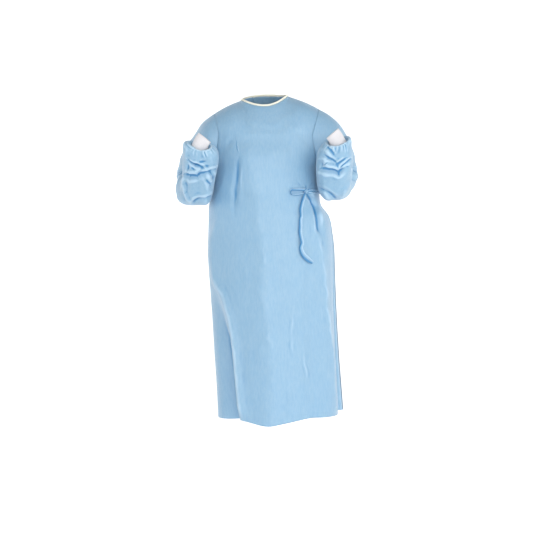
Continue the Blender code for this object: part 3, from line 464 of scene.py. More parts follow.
def cloth_piece(name, rows, material, ring=False, turn=1, thickness=CLOTH):
    """A piece of cloth from a grid of points on its outside. Its UV map is its flat pattern in metres."""
    count = len(rows[0])
    columns = count if ring else count - 1
    faces, pattern = [], []
    down = [0.0] * (columns + 1)
    above = None
    for i, row in enumerate(rows):
        across = [0.0]
        for j in range(columns):
            across.append(across[-1] + (row[(j + 1) % count] - row[j]).length)
        middle = across[columns // 2]
        across = [value - middle for value in across]
        if i:
            down = [d + (row[j % count] - rows[i - 1][j % count]).length for j, d in enumerate(down)]
        here = list(zip(across, down))
        if above:
            for j in range(columns):
                k = (j + 1) % count
                corners = [(i - 1) * count + j, i * count + j, i * count + k, (i - 1) * count + k]
                flat = [above[j], here[j], here[j + 1], above[j + 1]]
                faces.append(corners if turn > 0 else corners[::-1])
                pattern += flat if turn > 0 else flat[::-1]
        above = here
    mesh = bpy.data.meshes.new(name)
    mesh.from_pydata([point for row in rows for point in row], [], faces)
    layer = mesh.uv_layers.new(name="flat_pattern")
    layer.data.foreach_set("uv", [value for uv in pattern for value in uv])
    # Each point's depth below the cloth around it, kept as the mask of the material's painted shade and
    # painted highlight.
    hollow = mesh.attributes.new("hollow", "FLOAT", "POINT")
    hollow.data.foreach_set("value", hollows(rows, ring, turn))
    mesh.materials.append(material)
    mesh.shade_smooth()
    piece = add_object(name, mesh)
    if thickness:
        wall = piece.modifiers.new("cloth", "SOLIDIFY")
        wall.thickness = thickness
        wall.offset = -1.0
        wall.use_even_offset = False
    return piece


def fill(tree, node, inputs):
    """Fill a node's inputs with values, or with what other nodes or their sockets put out."""
    for key, value in dict(inputs).items():
        if isinstance(value, bpy.types.Node):
            value = value.outputs[0]
        if isinstance(value, bpy.types.NodeSocket):
            tree.links.new(value, node.inputs[key])
        else:
            node.inputs[key].default_value = value
    return node


def add_node(tree, kind, inputs=(), **settings):
    """Add a node, set it up, and fill its inputs."""
    made = tree.nodes.new(kind)
    for key, value in settings.items():
        setattr(made, key, value)
    return fill(tree, made, inputs)


def add_math(tree, operation, *values, clamp=False):
    """A sum with one number at each place, such as ADD or MULTIPLY_ADD."""
    return add_node(tree, "ShaderNodeMath", enumerate(values), operation=operation, use_clamp=clamp)


def add_scaled(tree, vector, factor):
    return add_node(tree, "ShaderNodeVectorMath", {0: vector, "Scale": factor}, operation="SCALE")


def add_range(tree, value, low, high, bottom=0.0, top=1.0, curve="LINEAR"):
    """Spread what runs from low to high over the range from bottom to top."""
    ends = {"From Min": low, "From Max": high, "To Min": bottom, "To Max": top}
    return add_node(tree, "ShaderNodeMapRange", {"Value": value, **ends}, interpolation_type=curve)


def add_noise(tree, place, scale, detail=2.0, roughness=0.5, distortion=0.0, **settings):
    """A cloudy pattern, scale clouds to the metre."""
    look = {"Scale": scale, "Detail": detail, "Roughness": roughness, "Distortion": distortion}
    return add_node(tree, "ShaderNodeTexNoise", {"Vector": place, **look}, **settings)


def add_mix(tree, share, first, second):
    """Mix two colours, and return the mixed colour's socket."""
    return add_node(tree, "ShaderNodeMix", {0: share, 6: first, 7: second}, data_type="RGBA").outputs[2]


def on_bias(tree, pattern):
    """The flat pattern, turned to run at 45 degrees to the cloth's threads."""
    turn = {"Vector": pattern, "Angle": math.radians(45)}
    return add_node(tree, "ShaderNodeVectorRotate", turn, rotation_type="Z_AXIS")


def add_group(name, kind, inputs, outputs):
    """A node group with named sockets. Returns it with its inputs' sockets and its output node."""
    tree = bpy.data.node_groups.new(name, kind)
    for label, socket, value in inputs:
        made = tree.interface.new_socket(label, in_out="INPUT", socket_type=f"NodeSocket{socket}")
        if value is not None:
            made.default_value = value
    for label, socket in outputs:
        tree.interface.new_socket(label, in_out="OUTPUT", socket_type=f"NodeSocket{socket}")
    return tree, tree.nodes.new("NodeGroupInput").outputs, tree.nodes.new("NodeGroupOutput")


CLOTH_OUTPUTS = (("Colour", "Color"), ("Height", "Float"), ("Roughness", "Float"))
DIMPLE_RELIEF, FIBRE_RELIEF = 0.00012, 0.00005
STREAK_RELIEF, WRINKLE_RELIEF = 0.00045, 0.0012


def nonwoven_group():
    """Spunbond cloth: small bonded dimples, matted fibres and faint upright streaks, with painted shade in
    its creases and a painted highlight on its ridges.
    """
    tree, given, result = add_group("nonwoven", "ShaderNodeTree", [
        ("Pattern", "Vector", None), ("Place", "Vector", None), ("Painted shade and highlight depth", "Float", 0.0),
        ("Colour", "Color", (0.3, 0.5, 0.8, 1.0)), ("Deep colour", "Color", (0.2, 0.4, 0.7, 1.0)),
        ("Painted crease shade colour", "Color", (0.1, 0.3, 0.6, 1.0)), ("Painted ridge highlight colour", "Color", (0.5, 0.7, 0.9, 1.0)),
        ("Dimple pitch", "Float", 0.0016), ("Cloud size", "Float", 0.06),
    ], CLOTH_OUTPUTS)
    pattern, place, hollow = given["Pattern"], given["Place"], given["Painted shade and highlight depth"]
    dimples_per_metre = add_math(tree, "DIVIDE", 1.0, given["Dimple pitch"])
    dots = add_node(tree, "ShaderNodeTexVoronoi", {
        "Vector": on_bias(tree, pattern), "Scale": dimples_per_metre, "Randomness": 0.06,
    }, voronoi_dimensions="2D")
    dimple = add_range(tree, dots.outputs["Distance"], 0.16, 0.42, curve="SMOOTHSTEP")
    fibre = add_noise(tree, pattern, 1400.0, 3.0, 0.6, noise_dimensions="2D")
    clouds = add_noise(tree, place, add_math(tree, "DIVIDE", 1.0, given["Cloud size"]), 4.0, 0.62)
    upright = add_node(tree, "ShaderNodeVectorMath", {0: place, 1: (1.0, 1.0, 0.24)}, operation="MULTIPLY")
    wrinkles = add_noise(tree, upright, 62.0, 2.5, 0.5, 0.4)
    streaks = add_noise(tree, upright, 170.0, 3.0, 0.6, 0.3)
    clouded = add_range(tree, clouds, 0.3, 0.72, 0.0, 0.26)
    streaked = add_range(tree, streaks, 0.36, 0.66, 0.0, 0.42)
    pressed = add_range(tree, dimple, 0.0, 1.0, 0.30, 0.0)
    deep = add_math(tree, "ADD", add_math(tree, "ADD", clouded, streaked), pressed, clamp=True)
    colour = add_mix(tree, deep, given["Colour"], given["Deep colour"])
    # Painted shade: the colour darkens toward the crease colour where the cloth lies below the cloth around
    # it.
    creased = add_range(tree, hollow, 0.15, 2.0, 0.0, 0.92, "SMOOTHSTEP")
    colour = add_mix(tree, creased, colour, given["Painted crease shade colour"])
    # Painted highlight: the colour lightens where the cloth stands above the cloth around it.
    painted_ridge_highlight = add_range(tree, hollow, -0.40, -2.4, 0.0, 0.6, "SMOOTHSTEP")
    colour = add_mix(tree, painted_ridge_highlight, colour, given["Painted ridge highlight colour"])
    relief = add_math(tree, "MULTIPLY", fibre, FIBRE_RELIEF)
    for source, height in ((dimple, DIMPLE_RELIEF), (streaks, STREAK_RELIEF), (wrinkles, WRINKLE_RELIEF)):
        relief = add_math(tree, "MULTIPLY_ADD", source, height, relief)
    rough = add_range(tree, dimple, 0.0, 1.0, 0.38, 0.50)
    fill(tree, result, {"Colour": colour, "Height": relief, "Roughness": rough})
    return tree


def new_material(name):
    """A new material, with its node tree and its shader."""
    material = bpy.data.materials.new(name)
    material.use_nodes = True
    return material, material.node_tree, material.node_tree.nodes["Principled BSDF"]


def cloth_material(name, group, values, bump, finish):
    """A fabric material round one of the cloth groups, on the piece's flat pattern and its place."""
    material, tree, shader = new_material(name)
    places = add_node(tree, "ShaderNodeTexCoord").outputs
    cloth = add_node(tree, "ShaderNodeGroup", node_tree=group)
    fill(tree, cloth, {"Pattern": places["UV"], **values})
    # The depth attribute masks the cloth's painted crease shade and painted ridge highlight.
    if "Painted shade and highlight depth" in cloth.inputs:
        hollow = add_node(tree, "ShaderNodeAttribute", attribute_name="hollow")
        fill(tree, cloth, {"Place": places["Object"], "Painted shade and highlight depth": hollow.outputs["Fac"]})
    colour, height, rough = cloth.outputs
    relief = add_node(tree, "ShaderNodeBump", {"Height": height, "Strength": bump, "Distance": 1.0})
    fill(tree, shader, {"Base Color": colour, "Roughness": rough, "Normal": relief, **finish})
    return material


NONWOVEN = nonwoven_group()
# The cloth's own colours, then the colours of its painted crease shade and painted ridge highlight.
NONWOVEN_COLOURS = {
    "Colour": (0.300, 0.496, 0.668, 1.0), "Deep colour": (0.202, 0.415, 0.622, 1.0),
    "Painted crease shade colour": (0.014, 0.215, 0.480, 1.0), "Painted ridge highlight colour": (0.560, 0.760, 0.930, 1.0),
}
NONWOVEN_SHEEN = {
    "Sheen Weight": 0.46, "Sheen Roughness": 0.40, "Sheen Tint": (0.90, 0.95, 1.0, 1.0),
    "Specular IOR Level": 1.0, "Subsurface Weight": 0.30, "Subsurface Radius": (1.0, 1.0, 1.0),
    "Subsurface Scale": 0.0015,
}
blue_cloth = cloth_material("blue_nonwoven", NONWOVEN, NONWOVEN_COLOURS, 1.0, NONWOVEN_SHEEN)


def pattern_rows():
    """The places of the mesh's rows, counted in rows of the pattern."""
    yoke = [k / YOKE_STEPS for k in range(YOKE_ROWS * YOKE_STEPS)]
    armhole = [YOKE_ROWS + k / ARMHOLE_STEPS for k in range(ARMHOLE_ROWS * ARMHOLE_STEPS)]
    skirt = [UNDERARM_ROW + k / SKIRT_STEPS for k in range(SKIRT_ROWS * SKIRT_STEPS + 1)]
    return yoke + armhole + skirt


SETTLE_ROUNDS, SETTLE_REACH = 24, 7    # how often the rows are evened out, and how many to each side


def settle(rows, across):
    """Even out the cloth above and below the underarm, where it passes from the armholes to the skirt."""
    middle = YOKE_ROWS * YOKE_STEPS + ARMHOLE_ROWS * ARMHOLE_STEPS
    for _ in range(SETTLE_ROUNDS):
        before = {i: list(rows[i]) for i in range(middle - SETTLE_REACH - 1, middle + SETTLE_REACH + 2)}
        for i in range(middle - SETTLE_REACH, middle + SETTLE_REACH + 1):
            near = 1 - abs(i - middle) / (SETTLE_REACH + 1)
            for j, s in enumerate(across):
                share = near * (1 - abs(s) ** SEAM_CALM_POWER)
                rows[i][j] = mix(before[i][j], (before[i - 1][j] + before[i + 1][j]) / 2, share)


def body_panel(name, face, columns, first_s, last_s, lift, material):
    """A body panel between its two edges, which first_s and last_s give as s at each row."""
    turn = 1 if face == "front" else -1
    rows = []
    for row in pattern_rows():
        low, high = first_s(row), last_s(row)
        across = [mix(low, high, j / columns) for j in range(columns + 1)]
        rows.append([body_point(face, s, row, lift(s, row)) for s in across])
    settle(rows, [mix(first_s(UNDERARM_ROW), last_s(UNDERARM_ROW), j / columns) for j in range(columns + 1)])
    normals = grid_normals(rows, False, turn)
    seam_columns = [k for k, edge in ((0, first_s), (columns, last_s)) if abs(edge(0)) == 1]
    for i, row in enumerate(rows):
        on_yoke = i / YOKE_STEPS < YOKE_ROWS
        for j, point in enumerate(row):
            s = mix(first_s(0), last_s(0), j / columns)
            to_seam = min((point - row[k]).length for k in seam_columns)
            if on_yoke and abs(s) > NECK_SHARE:
                to_seam = min(to_seam, (point - rows[0][j]).length)
            dip = SEAM_VALLEY * math.exp(-((to_seam / SEAM_VALLEY_WIDTH) ** 2))
            direction = normals[i][j]
            if to_seam < SEAM_GAP and abs(point.y) < SEAM_GAP:
                direction = Vector((direction.x, 0.0, direction.z)).normalized()
            row[j] = point - direction * dip
    for i, row in enumerate(rows):
        for j in range(columns + 1):
            if (i == 0 or j in (0, columns)) and abs(row[j].y) < SEAM_GAP:
                row[j].y = -turn * SEAM_GAP / 2
    return cloth_piece(name, rows, material, turn=turn)


front = body_panel(
    "gown_front", "front", FRONT_COLUMNS, lambda row: -1.0, lambda row: 1.0, lambda s, row: 0.0, blue_cloth,
)
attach(front, "root")
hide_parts("front_panel")

# ================================================================== back panels
# Two widths of the same cloth, each sewn at one side seam. The wrap flap starts at the wearer's right
# side and lies over the other one, with a free edge that runs from the neck down the wearer's left.

OUTER_BACK_COLUMNS = 130
INNER_BACK_COLUMNS = 80
FLAP_CLEAR_TOP = 0.0036
FLAP_CLEAR_HEM = 0.0100
FLAP_RISE_FROM = 0.28
FLAP_RISE_TO = 0.10
UNDER_FLAP = 0.0032      # what stays clear between the flap's free margin and the panel under it
PUFF_FROM, PUFF_TO = 0.30, 0.04        # as s before the flap's edge, where the inner panel puffs out
PUFF_END = 0.955         # and the s at which it comes down again to its seam

FlapEdge = namedtuple("FlapEdge", "row outer inner")
FLAP_EDGES = [
    FlapEdge(0, 1 / 7, -1 / 7),
    FlapEdge(6, 0.30, -0.15),
    FlapEdge(10, 0.66, -0.18),
    FlapEdge(12, 0.90, -0.20),
    FlapEdge(14, 0.93, -0.20),
    FlapEdge(26, 0.95, -0.22),
]


def flap_lift(s, row):
    """How far the wrap flap stands off the panels under it: nothing at its own seam, most at its edge."""
    edge = smooth(FLAP_EDGES, "row", row)
    z = UNDERARM_Z if row < UNDERARM_ROW else mix(UNDERARM_Z, HEM_Z, (row - UNDERARM_ROW) / SKIRT_ROWS)
    at_edge = smooth(BODY, "z", z).flap
    slack = mix(FLAP_CLEAR_TOP, FLAP_CLEAR_HEM, ease(row, 0, HEM_ROW))
    over_inner = slack * ease(s, edge.inner - FLAP_RISE_FROM, edge.inner - FLAP_RISE_TO)
    return over_inner + max(0.0, at_edge - slack) * ease(s, 0.0, edge.outer)


def inner_lift(s, row):
    """How far the inner panel puffs out beside its seam, up to the flap over it."""
    edge = smooth(FLAP_EDGES, "row", row)
    beside = ease(s, edge.outer - PUFF_FROM, edge.outer - PUFF_TO) * (1 - ease(s, PUFF_END, 1.0))
    return beside * max(0.0, flap_lift(min(s, edge.outer), row) - UNDER_FLAP)


outer_back = body_panel(
    "gown_back_outer", "back", OUTER_BACK_COLUMNS,
    lambda row: -1.0, lambda row: smooth(FLAP_EDGES, "row", row).outer, flap_lift, blue_cloth,
)
inner_back = body_panel(
    "gown_back_inner", "back", INNER_BACK_COLUMNS,
    lambda row: smooth(FLAP_EDGES, "row", row).inner, lambda row: 1.0, inner_lift, blue_cloth,
)
for panel, node, flat, area, below in (
    (outer_back, "back_panel_outer", (0.66, 1.20), 0.60, ["gown_back_inner"]),
    (inner_back, "back_panel_inner", (0.44, 1.18), 0.39, []),
):
    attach(panel, "root")
    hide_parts(node)

# ================================================================== sleeves
# Set-in sleeves of the same cloth, one piece each, sewn into the armholes and gathered on to the knit
# cuffs. The arms are raised, so each sleeve is bent hard at the elbow and puffs out at the wrist.

UpperRing = namedtuple("UpperRing", "outer_x outer_z inner_x inner_z middle_y half_depth")
LowerRing = namedtuple("LowerRing", "turn along inner_x outer_x near depth square puff lean")
Arm = namedtuple("Arm", "side sign crook_y crook_z upper lower cuff_lean creases")
HALF_RING_STEPS = 10     # points of a sleeve's ring from one row of the armhole to the next
RING_POINTS = 2 * UNDERARM_ROW * HALF_RING_STEPS
RING_STEPS = 8           # rings of the mesh from one table ring to the next
UPPER_SQUARENESS = 2.0
PUFF_POWER = 3
LONG_STEP = 0.02
LONG_TURN = 10

# The creases of each sleeve, seen from the front, the back, or its outer side, where x stands for y.
LEFT_SLEEVE_CREASES = crease_lines(
    "front",
    (11, 7, 0.6, (196, -236), (204, -257), (225, -265), (254, -275), (280, -258)),
    (4.5, 6, 0, (196, -228), (211, -251), (222, -262)),
    (4.5, 5, 0, (216, -186), (228, -202), (237, -219)),
    (6, 5, 0.3, (206, -205), (223, -224), (245, -239)),
    (5.5, 4.2, 0.3, (248, -245), (263, -237), (278, -228)),
    (5.5, 4.2, 0.3, (256, -263), (273, -248), (294, -232)),
    (2.2, 8, 0, (263, -190), (287, -185)),
    (6, 5, 0, (304, -252), (322, -274)),
    (-5, 7, 0, (318, -284), (300, -318), (270, -362)),
    (6, 6, -0.4, (194, -318), (225, -344), (256, -368)),
    # a crease down the forearm's inner edge, whose painted crease shade makes a dark line of painted shade
    # beside the body
    (5, 5, 0, (192, -215), (189, -260), (189, -300), (193, -345)),
    (6, 6, 0, (196, -328), (208, -349), (220, -372)),
) + crease_lines(
    "outer",
    (2.3, 11, 0.4, (-60, -245), (-30, -262), (20, -275)),
    (2.6, 11, 0.4, (-60, -285), (-20, -302), (30, -306)),
    (1.9, 11, 0, (-50, -322), (-10, -336), (30, -328)),
    (2.3, 13, 0.3, (-30, -222), (5, -232), (55, -222)),
    (2.3, 11, 0, (40, -120), (20, -160), (30, -200)),
) + crease_lines(
    "back",
    (4.5, 11, 0.4, (200, -215), (240, -235), (285, -240)),
    (3, 11, 0, (198, -180), (225, -165), (260, -170)),
    (4.1, 10, 0.4, (205, -270), (250, -285), (300, -270)),
    (3.4, 10, 0, (215, -320), (255, -335), (295, -322)),
)
RIGHT_SLEEVE_CREASES = crease_lines(
    "front",
    (8.5, 4.8, 0.4, (-260, -233), (-236, -248), (-213, -256)),
    (2.8, 4.5, 0, (-238, -243), (-219, -241), (-196, -233)),
    (4.5, 5, 0, (-266, -244), (-262, -274)),
    (9.5, 8, 0.6, (-284, -272), (-259, -289), (-235, -286), (-210, -269)),
    (8.5, 5.5, 0.7, (-224, -282), (-198, -271), (-172, -258)),
    (6, 6, 0, (-209, -288), (-197, -308), (-195, -336)),
    # a crease down the forearm's inner edge, whose painted crease shade makes a dark line of painted shade
    # beside the body
    (6, 6, 0, (-194, -256), (-187, -285), (-185, -320), (-190, -356)),
    (-5.5, 6, 0, (-279, -276), (-284, -312), (-284, -346), (-258, -384)),
    (4.5, 6, 0, (-294, -287), (-297, -342), (-275, -378)),
    (6.5, 7, 0.6, (-262, -386), (-226, -366), (-184, -342)),
    (-2.5, 7, 0, (-268, -191), (-271, -240)),
    (5, 5, 0.4, (-318, -257), (-290, -257)),
) + crease_lines(
    "outer",
    (2.6, 8, 0.4, (-80, -257), (-50, -262), (10, -280)),
    (2.3, 11, 0.4, (-50, -300), (-15, -318), (25, -328)),
    (1.8, 11, 0, (-50, -342), (-20, -356), (20, -350)),
    (2.3, 13, 0.3, (-20, -236), (10, -245), (52, -234)),
    (2.3, 11, 0, (38, -130), (18, -172), (30, -212)),
) + crease_lines(
    "back",
    (4.5, 11, 0.4, (-270, -255), (-225, -248), (-190, -225)),
    (3, 11, 0, (-188, -190), (-212, -176), (-240, -182)),
    (4.1, 10, 0.4, (-285, -288), (-240, -300), (-200, -285)),
    (3.4, 10, 0, (-285, -338), (-245, -350), (-210, -335)),
)
FACES_FROM, FACES_TO = 0.15, 0.6       # how far the cloth turns to a side to be creased on it
FRONT_FACES_TO = 0.7
FORWARD_OF = -0.060      # the forearm's creases are only on the cloth in front of this
FRONT_FADE, BACK_FADE = 0.02, 0.03
INNER_SWELL = 0.011      # how far the forearm's cloth swells towards the body
SWELL_FRONT, SWELL_FADE = -0.030, 0.05
SWELL_BOTTOM, SWELL_TOP = (-0.405, -0.375), (-0.21, -0.16)    # heights over which it comes and goes
ARMHOLE_CALM, CUFF_CALM = 0.03, 0.012  # how far from its seams the cloth is still calm
ARMHOLE_RINGS = 4        # table rings in which the armhole is felt
ARMHOLE_VALLEY = 0.0006
GATHERS = 23             # small pleats where the sleeve is gathered on to the cuff
GATHER_DEPTH = 0.0011
GATHER_FROM, GATHER_LENGTH = 0.010, 0.026
GATHER_SPREAD, GATHER_UNEVEN, GATHER_VARIES = 2.2, 5.0, 0.5   # how unlike each other they are

LOWER_UNITS = (1, MM, MM, MM, MM, MM, 1, MM, 1)
LEFT_ARM = Arm(
    "left", 1, -0.050, -0.250,
    measured(
        UpperRing, [MM] * 6,
        (230.6, -66, 193, -262.8, 0, 96),
        (265, -94.5, 196, -263.6, 2, 91),
        (290, -130, 198.5, -264.8, 7, 83),
        (310, -170, 200, -266.4, 13, 75),
        (326, -215, 200.8, -268.4, 19, 66),
    ),
    measured(
        LowerRing, LOWER_UNITS,
        (26, 0, 201, 337, 12, 122, 2.2, 0, 0),
        (44, 0, 201, 333, 12, 116, 2.2, 0, 0),
        (66, 0, 200.5, 320, 12, 112, 2.2, 0, 0),
        (90, 0, 199, 308, 12, 110, 2.3, 0, 0),
        (116, 0, 196, 304, 12, 110, 2.3, 0, 0),
        (140, 0, 193, 306, 12, 110, 2.3, 0, 0),
        (140, 45, 190, 308, 13, 110, 2.3, 0, 0),
        (140, 85, 191, 308, 17, 105, 2.3, 0, 0),
        (140, 120, 196, 304, 23, 94, 2.3, 0, 0),
        (140, 145, 202, 299, 29, 83, 2.3, 2, 0.05),
        (140, 160, 208, 297, 34, 73, 2.2, 9, 0.15),
        (140, 165, 216, 289, 40, 61, 2.1, 6, 0.25),
        (140, 151, 224, 282, 47, 47, 2, 0, 0.3),
    ),
    Vector((-0.66, -0.05, 0.75)), LEFT_SLEEVE_CREASES,
)
RIGHT_ARM = Arm(
    "right", -1, -0.050, -0.265,
    measured(
        UpperRing, [MM] * 6,
        (204.5, -78, 186.5, -264, 0, 96),
        (227.6, -98, 190.5, -266, 2, 91),
        (254, -138, 194, -268, 7, 83),
        (283, -178, 197, -270, 13, 75),
        (306, -223, 199, -272, 19, 68),
    ),
    measured(
        LowerRing, LOWER_UNITS,
        (14, 0, 197.5, 319, 10, 125, 2.3, 0, 0),
        (40, 0, 197.5, 312, 11, 119, 2.4, 0, 0),
        (65, 0, 197.5, 319, 12, 115, 2.6, 0, 0),
        (90, 0, 196.5, 316, 12, 113, 2.8, 0, 0),
        (116, 0, 192, 300, 12, 113, 2.6, 0, 0),
        (140, 0, 187, 292, 12, 111, 2.4, 0, 0),
        (140, 45, 180, 288, 13, 110, 2.3, 0, 0),
        (140, 85, 172, 286, 17, 105, 2.3, 0, 0),
        (140, 120, 169, 284, 23, 94, 2.3, 0, 0),
        (140, 145, 174, 282, 29, 83, 2.3, 2, 0.05),
        (140, 160, 182, 279, 34, 73, 2.2, 9, 0.15),
        (140, 165, 188, 266, 40, 61, 2.1, 6, 0.25),
        (140, 151, 196, 254, 47, 47, 2, 0, 0.3),
    ),
    Vector((0.62, -0.05, 0.78)), RIGHT_SLEEVE_CREASES,
)


def between(before, start, end, after, t):
    """A smooth curve from start to end, which also heeds the points before and after them."""
    return 0.5 * (
        2 * start
        + (end - before) * t
        + (2 * before - 5 * start + 4 * end - after) * t**2
        + (3 * start - before - 3 * end + after) * t**3
    )


def four_around(points, k):
    """The two points k and k + 1 of a list, with their outer neighbours."""
    last = len(points) - 1
    return points[max(k - 1, 0)], points[k], points[k + 1], points[min(k + 2, last)]


def armhole_loop(arm, lift=0.0):
    """The armhole's seam as a loop: from the shoulder tip down the front and up the back."""
    half = UNDERARM_ROW * HALF_RING_STEPS
    front_half = [body_point("front", arm.sign, k / HALF_RING_STEPS, lift) for k in range(half + 1)]
    back_half = [body_point("back", arm.sign, k / HALF_RING_STEPS, lift) for k in range(1, half)]
    return front_half + back_half[::-1]


def ring_points(centre, outward, forward, square):
    """A rounded ring, from its outer point round by its front."""
    points = []
    for k in range(RING_POINTS):
        angle = 2 * math.pi * k / RING_POINTS
        c, s = math.cos(angle), math.sin(angle)
        points.append(
            centre
            + outward * math.copysign(abs(c) ** (2 / square), c)
            + forward * math.copysign(abs(s) ** (2 / square), s)
        )
    return points


def upper_ring(arm, ring):
    outer = Vector((arm.sign * ring.outer_x, ring.middle_y, ring.outer_z))
    inner = Vector((arm.sign * ring.inner_x, ring.middle_y, ring.inner_z))
    forward = Vector((0, -ring.half_depth, 0))
    return ring_points((outer + inner) / 2, (outer - inner) / 2, forward, UPPER_SQUARENESS)


def lower_ring(arm, ring):
    turn = math.radians(ring.turn)
    away = Vector((0.0, math.cos(turn), -math.sin(turn)))
    along = Vector((0.0, -math.sin(turn), -math.cos(turn)))
    centre = Vector((arm.sign * (ring.inner_x + ring.outer_x) / 2, arm.crook_y, arm.crook_z))
    centre += away * (ring.near + ring.depth / 2) + along * ring.along
    outward = Vector((arm.sign * (ring.outer_x - ring.inner_x) / 2, 0.0, 0.0))
    points = ring_points(centre, outward, -away * ring.depth / 2, ring.square)
    whole_swing = along.rotation_difference(arm.cuff_lean.normalized())
    swing = Quaternion().slerp(whole_swing, max(0.0, ring.lean))
    for k, point in enumerate(points):
        outer_side = max(0.0, math.cos(2 * math.pi * k / RING_POINTS)) ** PUFF_POWER
        points[k] = centre + swing @ (point - centre) + along * ring.puff * outer_side
    return points


def sleeve_crease_height(arm, point, normal):
    """How far a sleeve's creases move its cloth, on the sides that face each way."""
    height = 0.0
    if point.y < FORWARD_OF:
        faces = ease(-normal.y - normal.z, 0.0, FRONT_FACES_TO) * ease(FORWARD_OF - point.y, 0.0, FRONT_FADE)
        height += faces * crease_height(arm.creases, "front", point.x, point.z)
    outer_side = ease(arm.sign * normal.x, FACES_FROM, FACES_TO)
    if outer_side > 0:
        height += outer_side * crease_height(arm.creases, "outer", point.y, point.z)
    behind = ease(normal.y, FACES_FROM, FACES_TO) * ease(point.y, 0.0, BACK_FADE)
    if behind > 0:
        height += behind * crease_height(arm.creases, "back", point.x, point.z)
    return height


def sleeve_swell(arm, point, normal):
    """How far the forearm's cloth swells towards the body, on the side that faces it."""
    beside = ease(-arm.sign * normal.x, 0.0, FACES_TO) * ease(SWELL_FRONT - point.y, 0.0, SWELL_FADE)
    return INNER_SWELL * beside * ease(point.z, *SWELL_BOTTOM) * (1 - ease(point.z, *SWELL_TOP))


def sleeve_rows(arm):
    """The sleeve's rings, from the armhole's seam to the cuff's seam, with their creases."""
    lower = [arm.lower[0]]
    for k in range(len(arm.lower) - 1):
        here, following = arm.lower[k], arm.lower[k + 1]
        far = following.along - here.along > LONG_STEP or following.turn - here.turn > LONG_TURN
        steps = 2 if far else 1
        for step in range(1, steps + 1):
            columns = zip(*four_around(arm.lower, k))
            lower.append(LowerRing(*[between(*column, step / steps) for column in columns]))
    coarse = [armhole_loop(arm)]
    coarse += [upper_ring(arm, ring) for ring in arm.upper]
    coarse += [lower_ring(arm, ring) for ring in lower]
    rings = []
    for k in range(len(coarse) - 1):
        around = four_around(coarse, k)
        for step in range(RING_STEPS):
            rings.append([between(*points, step / RING_STEPS) for points in zip(*around)])
    rings.append(coarse[-1])
    normals = grid_normals(rings, True, -arm.sign)
    cuff_seam = rings[-1]
    for i, ring in enumerate(rings):
        for j, point in enumerate(ring):
            normal = normals[i][j]
            to_cuff = (point - cuff_seam[j]).length
            to_armhole = (point - rings[0][j]).length if i < ARMHOLE_RINGS * RING_STEPS else 1.0
            calm = ease(to_armhole, 0.0, ARMHOLE_CALM) * ease(to_cuff, 0.0, CUFF_CALM)
            creased = sleeve_crease_height(arm, point, normal) + crumple(point)
            height = calm * (creased + sleeve_swell(arm, point, normal))
            angle = 2 * math.pi * j / RING_POINTS
            around = Vector((GATHER_SPREAD * math.cos(angle), GATHER_SPREAD * math.sin(angle), arm.sign))
            uneven = noise.noise(around)
            pleat = math.cos(GATHERS * angle + GATHER_UNEVEN * uneven)
            gather_end = GATHER_LENGTH * (1 + GATHER_VARIES * uneven)
            fade = ease(to_cuff, 0.0, GATHER_FROM) * (1 - ease(to_cuff, GATHER_FROM, gather_end))
            height += GATHER_DEPTH * fade * pleat
            height -= ARMHOLE_VALLEY * math.exp(-((to_armhole / SEAM_VALLEY_WIDTH) ** 2))
            if i:
                ring[j] = point + normal * height
    return rings


for arm in (LEFT_ARM, RIGHT_ARM):
    sleeve = cloth_piece(f"gown_sleeve_{arm.side}", sleeve_rows(arm), blue_cloth, ring=True, turn=-arm.sign)
    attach(sleeve, "root")
    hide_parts(f"sleeve_{arm.side}")

# ================================================================== cuffs
# Tubes of soft white rib knit, sewn to the gathered end of each sleeve. They hold the wrists, lean in
# over the shoulders, and end in a rolled edge.

CUFF_LENGTH = 0.045
CUFF_RINGS = 26
CUFF_MOUTH_SCALE = 0.90
CUFF_WAIST = 0.035       # how far the knit draws in between its seam and its mouth
KNIT_WALL = 0.0011
RIBS = 60
RIB_RADIUS = 0.00085
EDGE_RADIUS = 0.0013
LOOP_RELIEF = 0.00025


def knit_group():
    """Rib knit: rows of small loops on the flat pattern."""
    tree, given, result = add_group("rib_knit", "ShaderNodeTree", [
        ("Pattern", "Vector", None), ("Colour", "Color", (0.9, 0.9, 0.9, 1.0)),
        ("Deep colour", "Color", (0.6, 0.6, 0.65, 1.0)), ("Loop size", "Float", 0.0011),
    ], CLOTH_OUTPUTS)
    scaled = add_scaled(tree, given["Pattern"], add_math(tree, "DIVIDE", 1.0, given["Loop size"]))
    parts = add_node(tree, "ShaderNodeSeparateXYZ", {0: scaled}).outputs
    wale = add_math(tree, "PINGPONG", parts["X"], 1.0)
    course = add_math(tree, "MULTIPLY_ADD", wale, 0.9, parts["Y"])
    wave = add_math(tree, "SINE", add_math(tree, "MULTIPLY", course, 2 * math.pi))
    fuzz = add_noise(tree, scaled, 1.7, 3.0)
    uneven = add_math(tree, "MULTIPLY_ADD", fuzz, 0.5, add_range(tree, wave, -1.0, 1.0))
    height = add_math(tree, "MULTIPLY", uneven, LOOP_RELIEF)
    # Painted shade: the knit's colour darkens where its loops lie low.
    shade = add_range(tree, uneven, 0.1, 1.1)
    colour = add_mix(tree, shade, given["Deep colour"], given["Colour"])
    rough = add_range(tree, fuzz, 0.0, 1.0, 0.78, 0.95)
    fill(tree, result, {"Colour": colour, "Height": height, "Roughness": rough})
    return tree


KNIT_SHEEN = {"Sheen Weight": 0.35, "Sheen Roughness": 0.5, "Specular IOR Level": 0.3}
white_knit = cloth_material(
    "white_knit", knit_group(),
    {"Colour": (0.90, 0.885, 0.90, 1.0), "Deep colour": (0.74, 0.73, 0.77, 1.0)}, 0.8, KNIT_SHEEN,
)


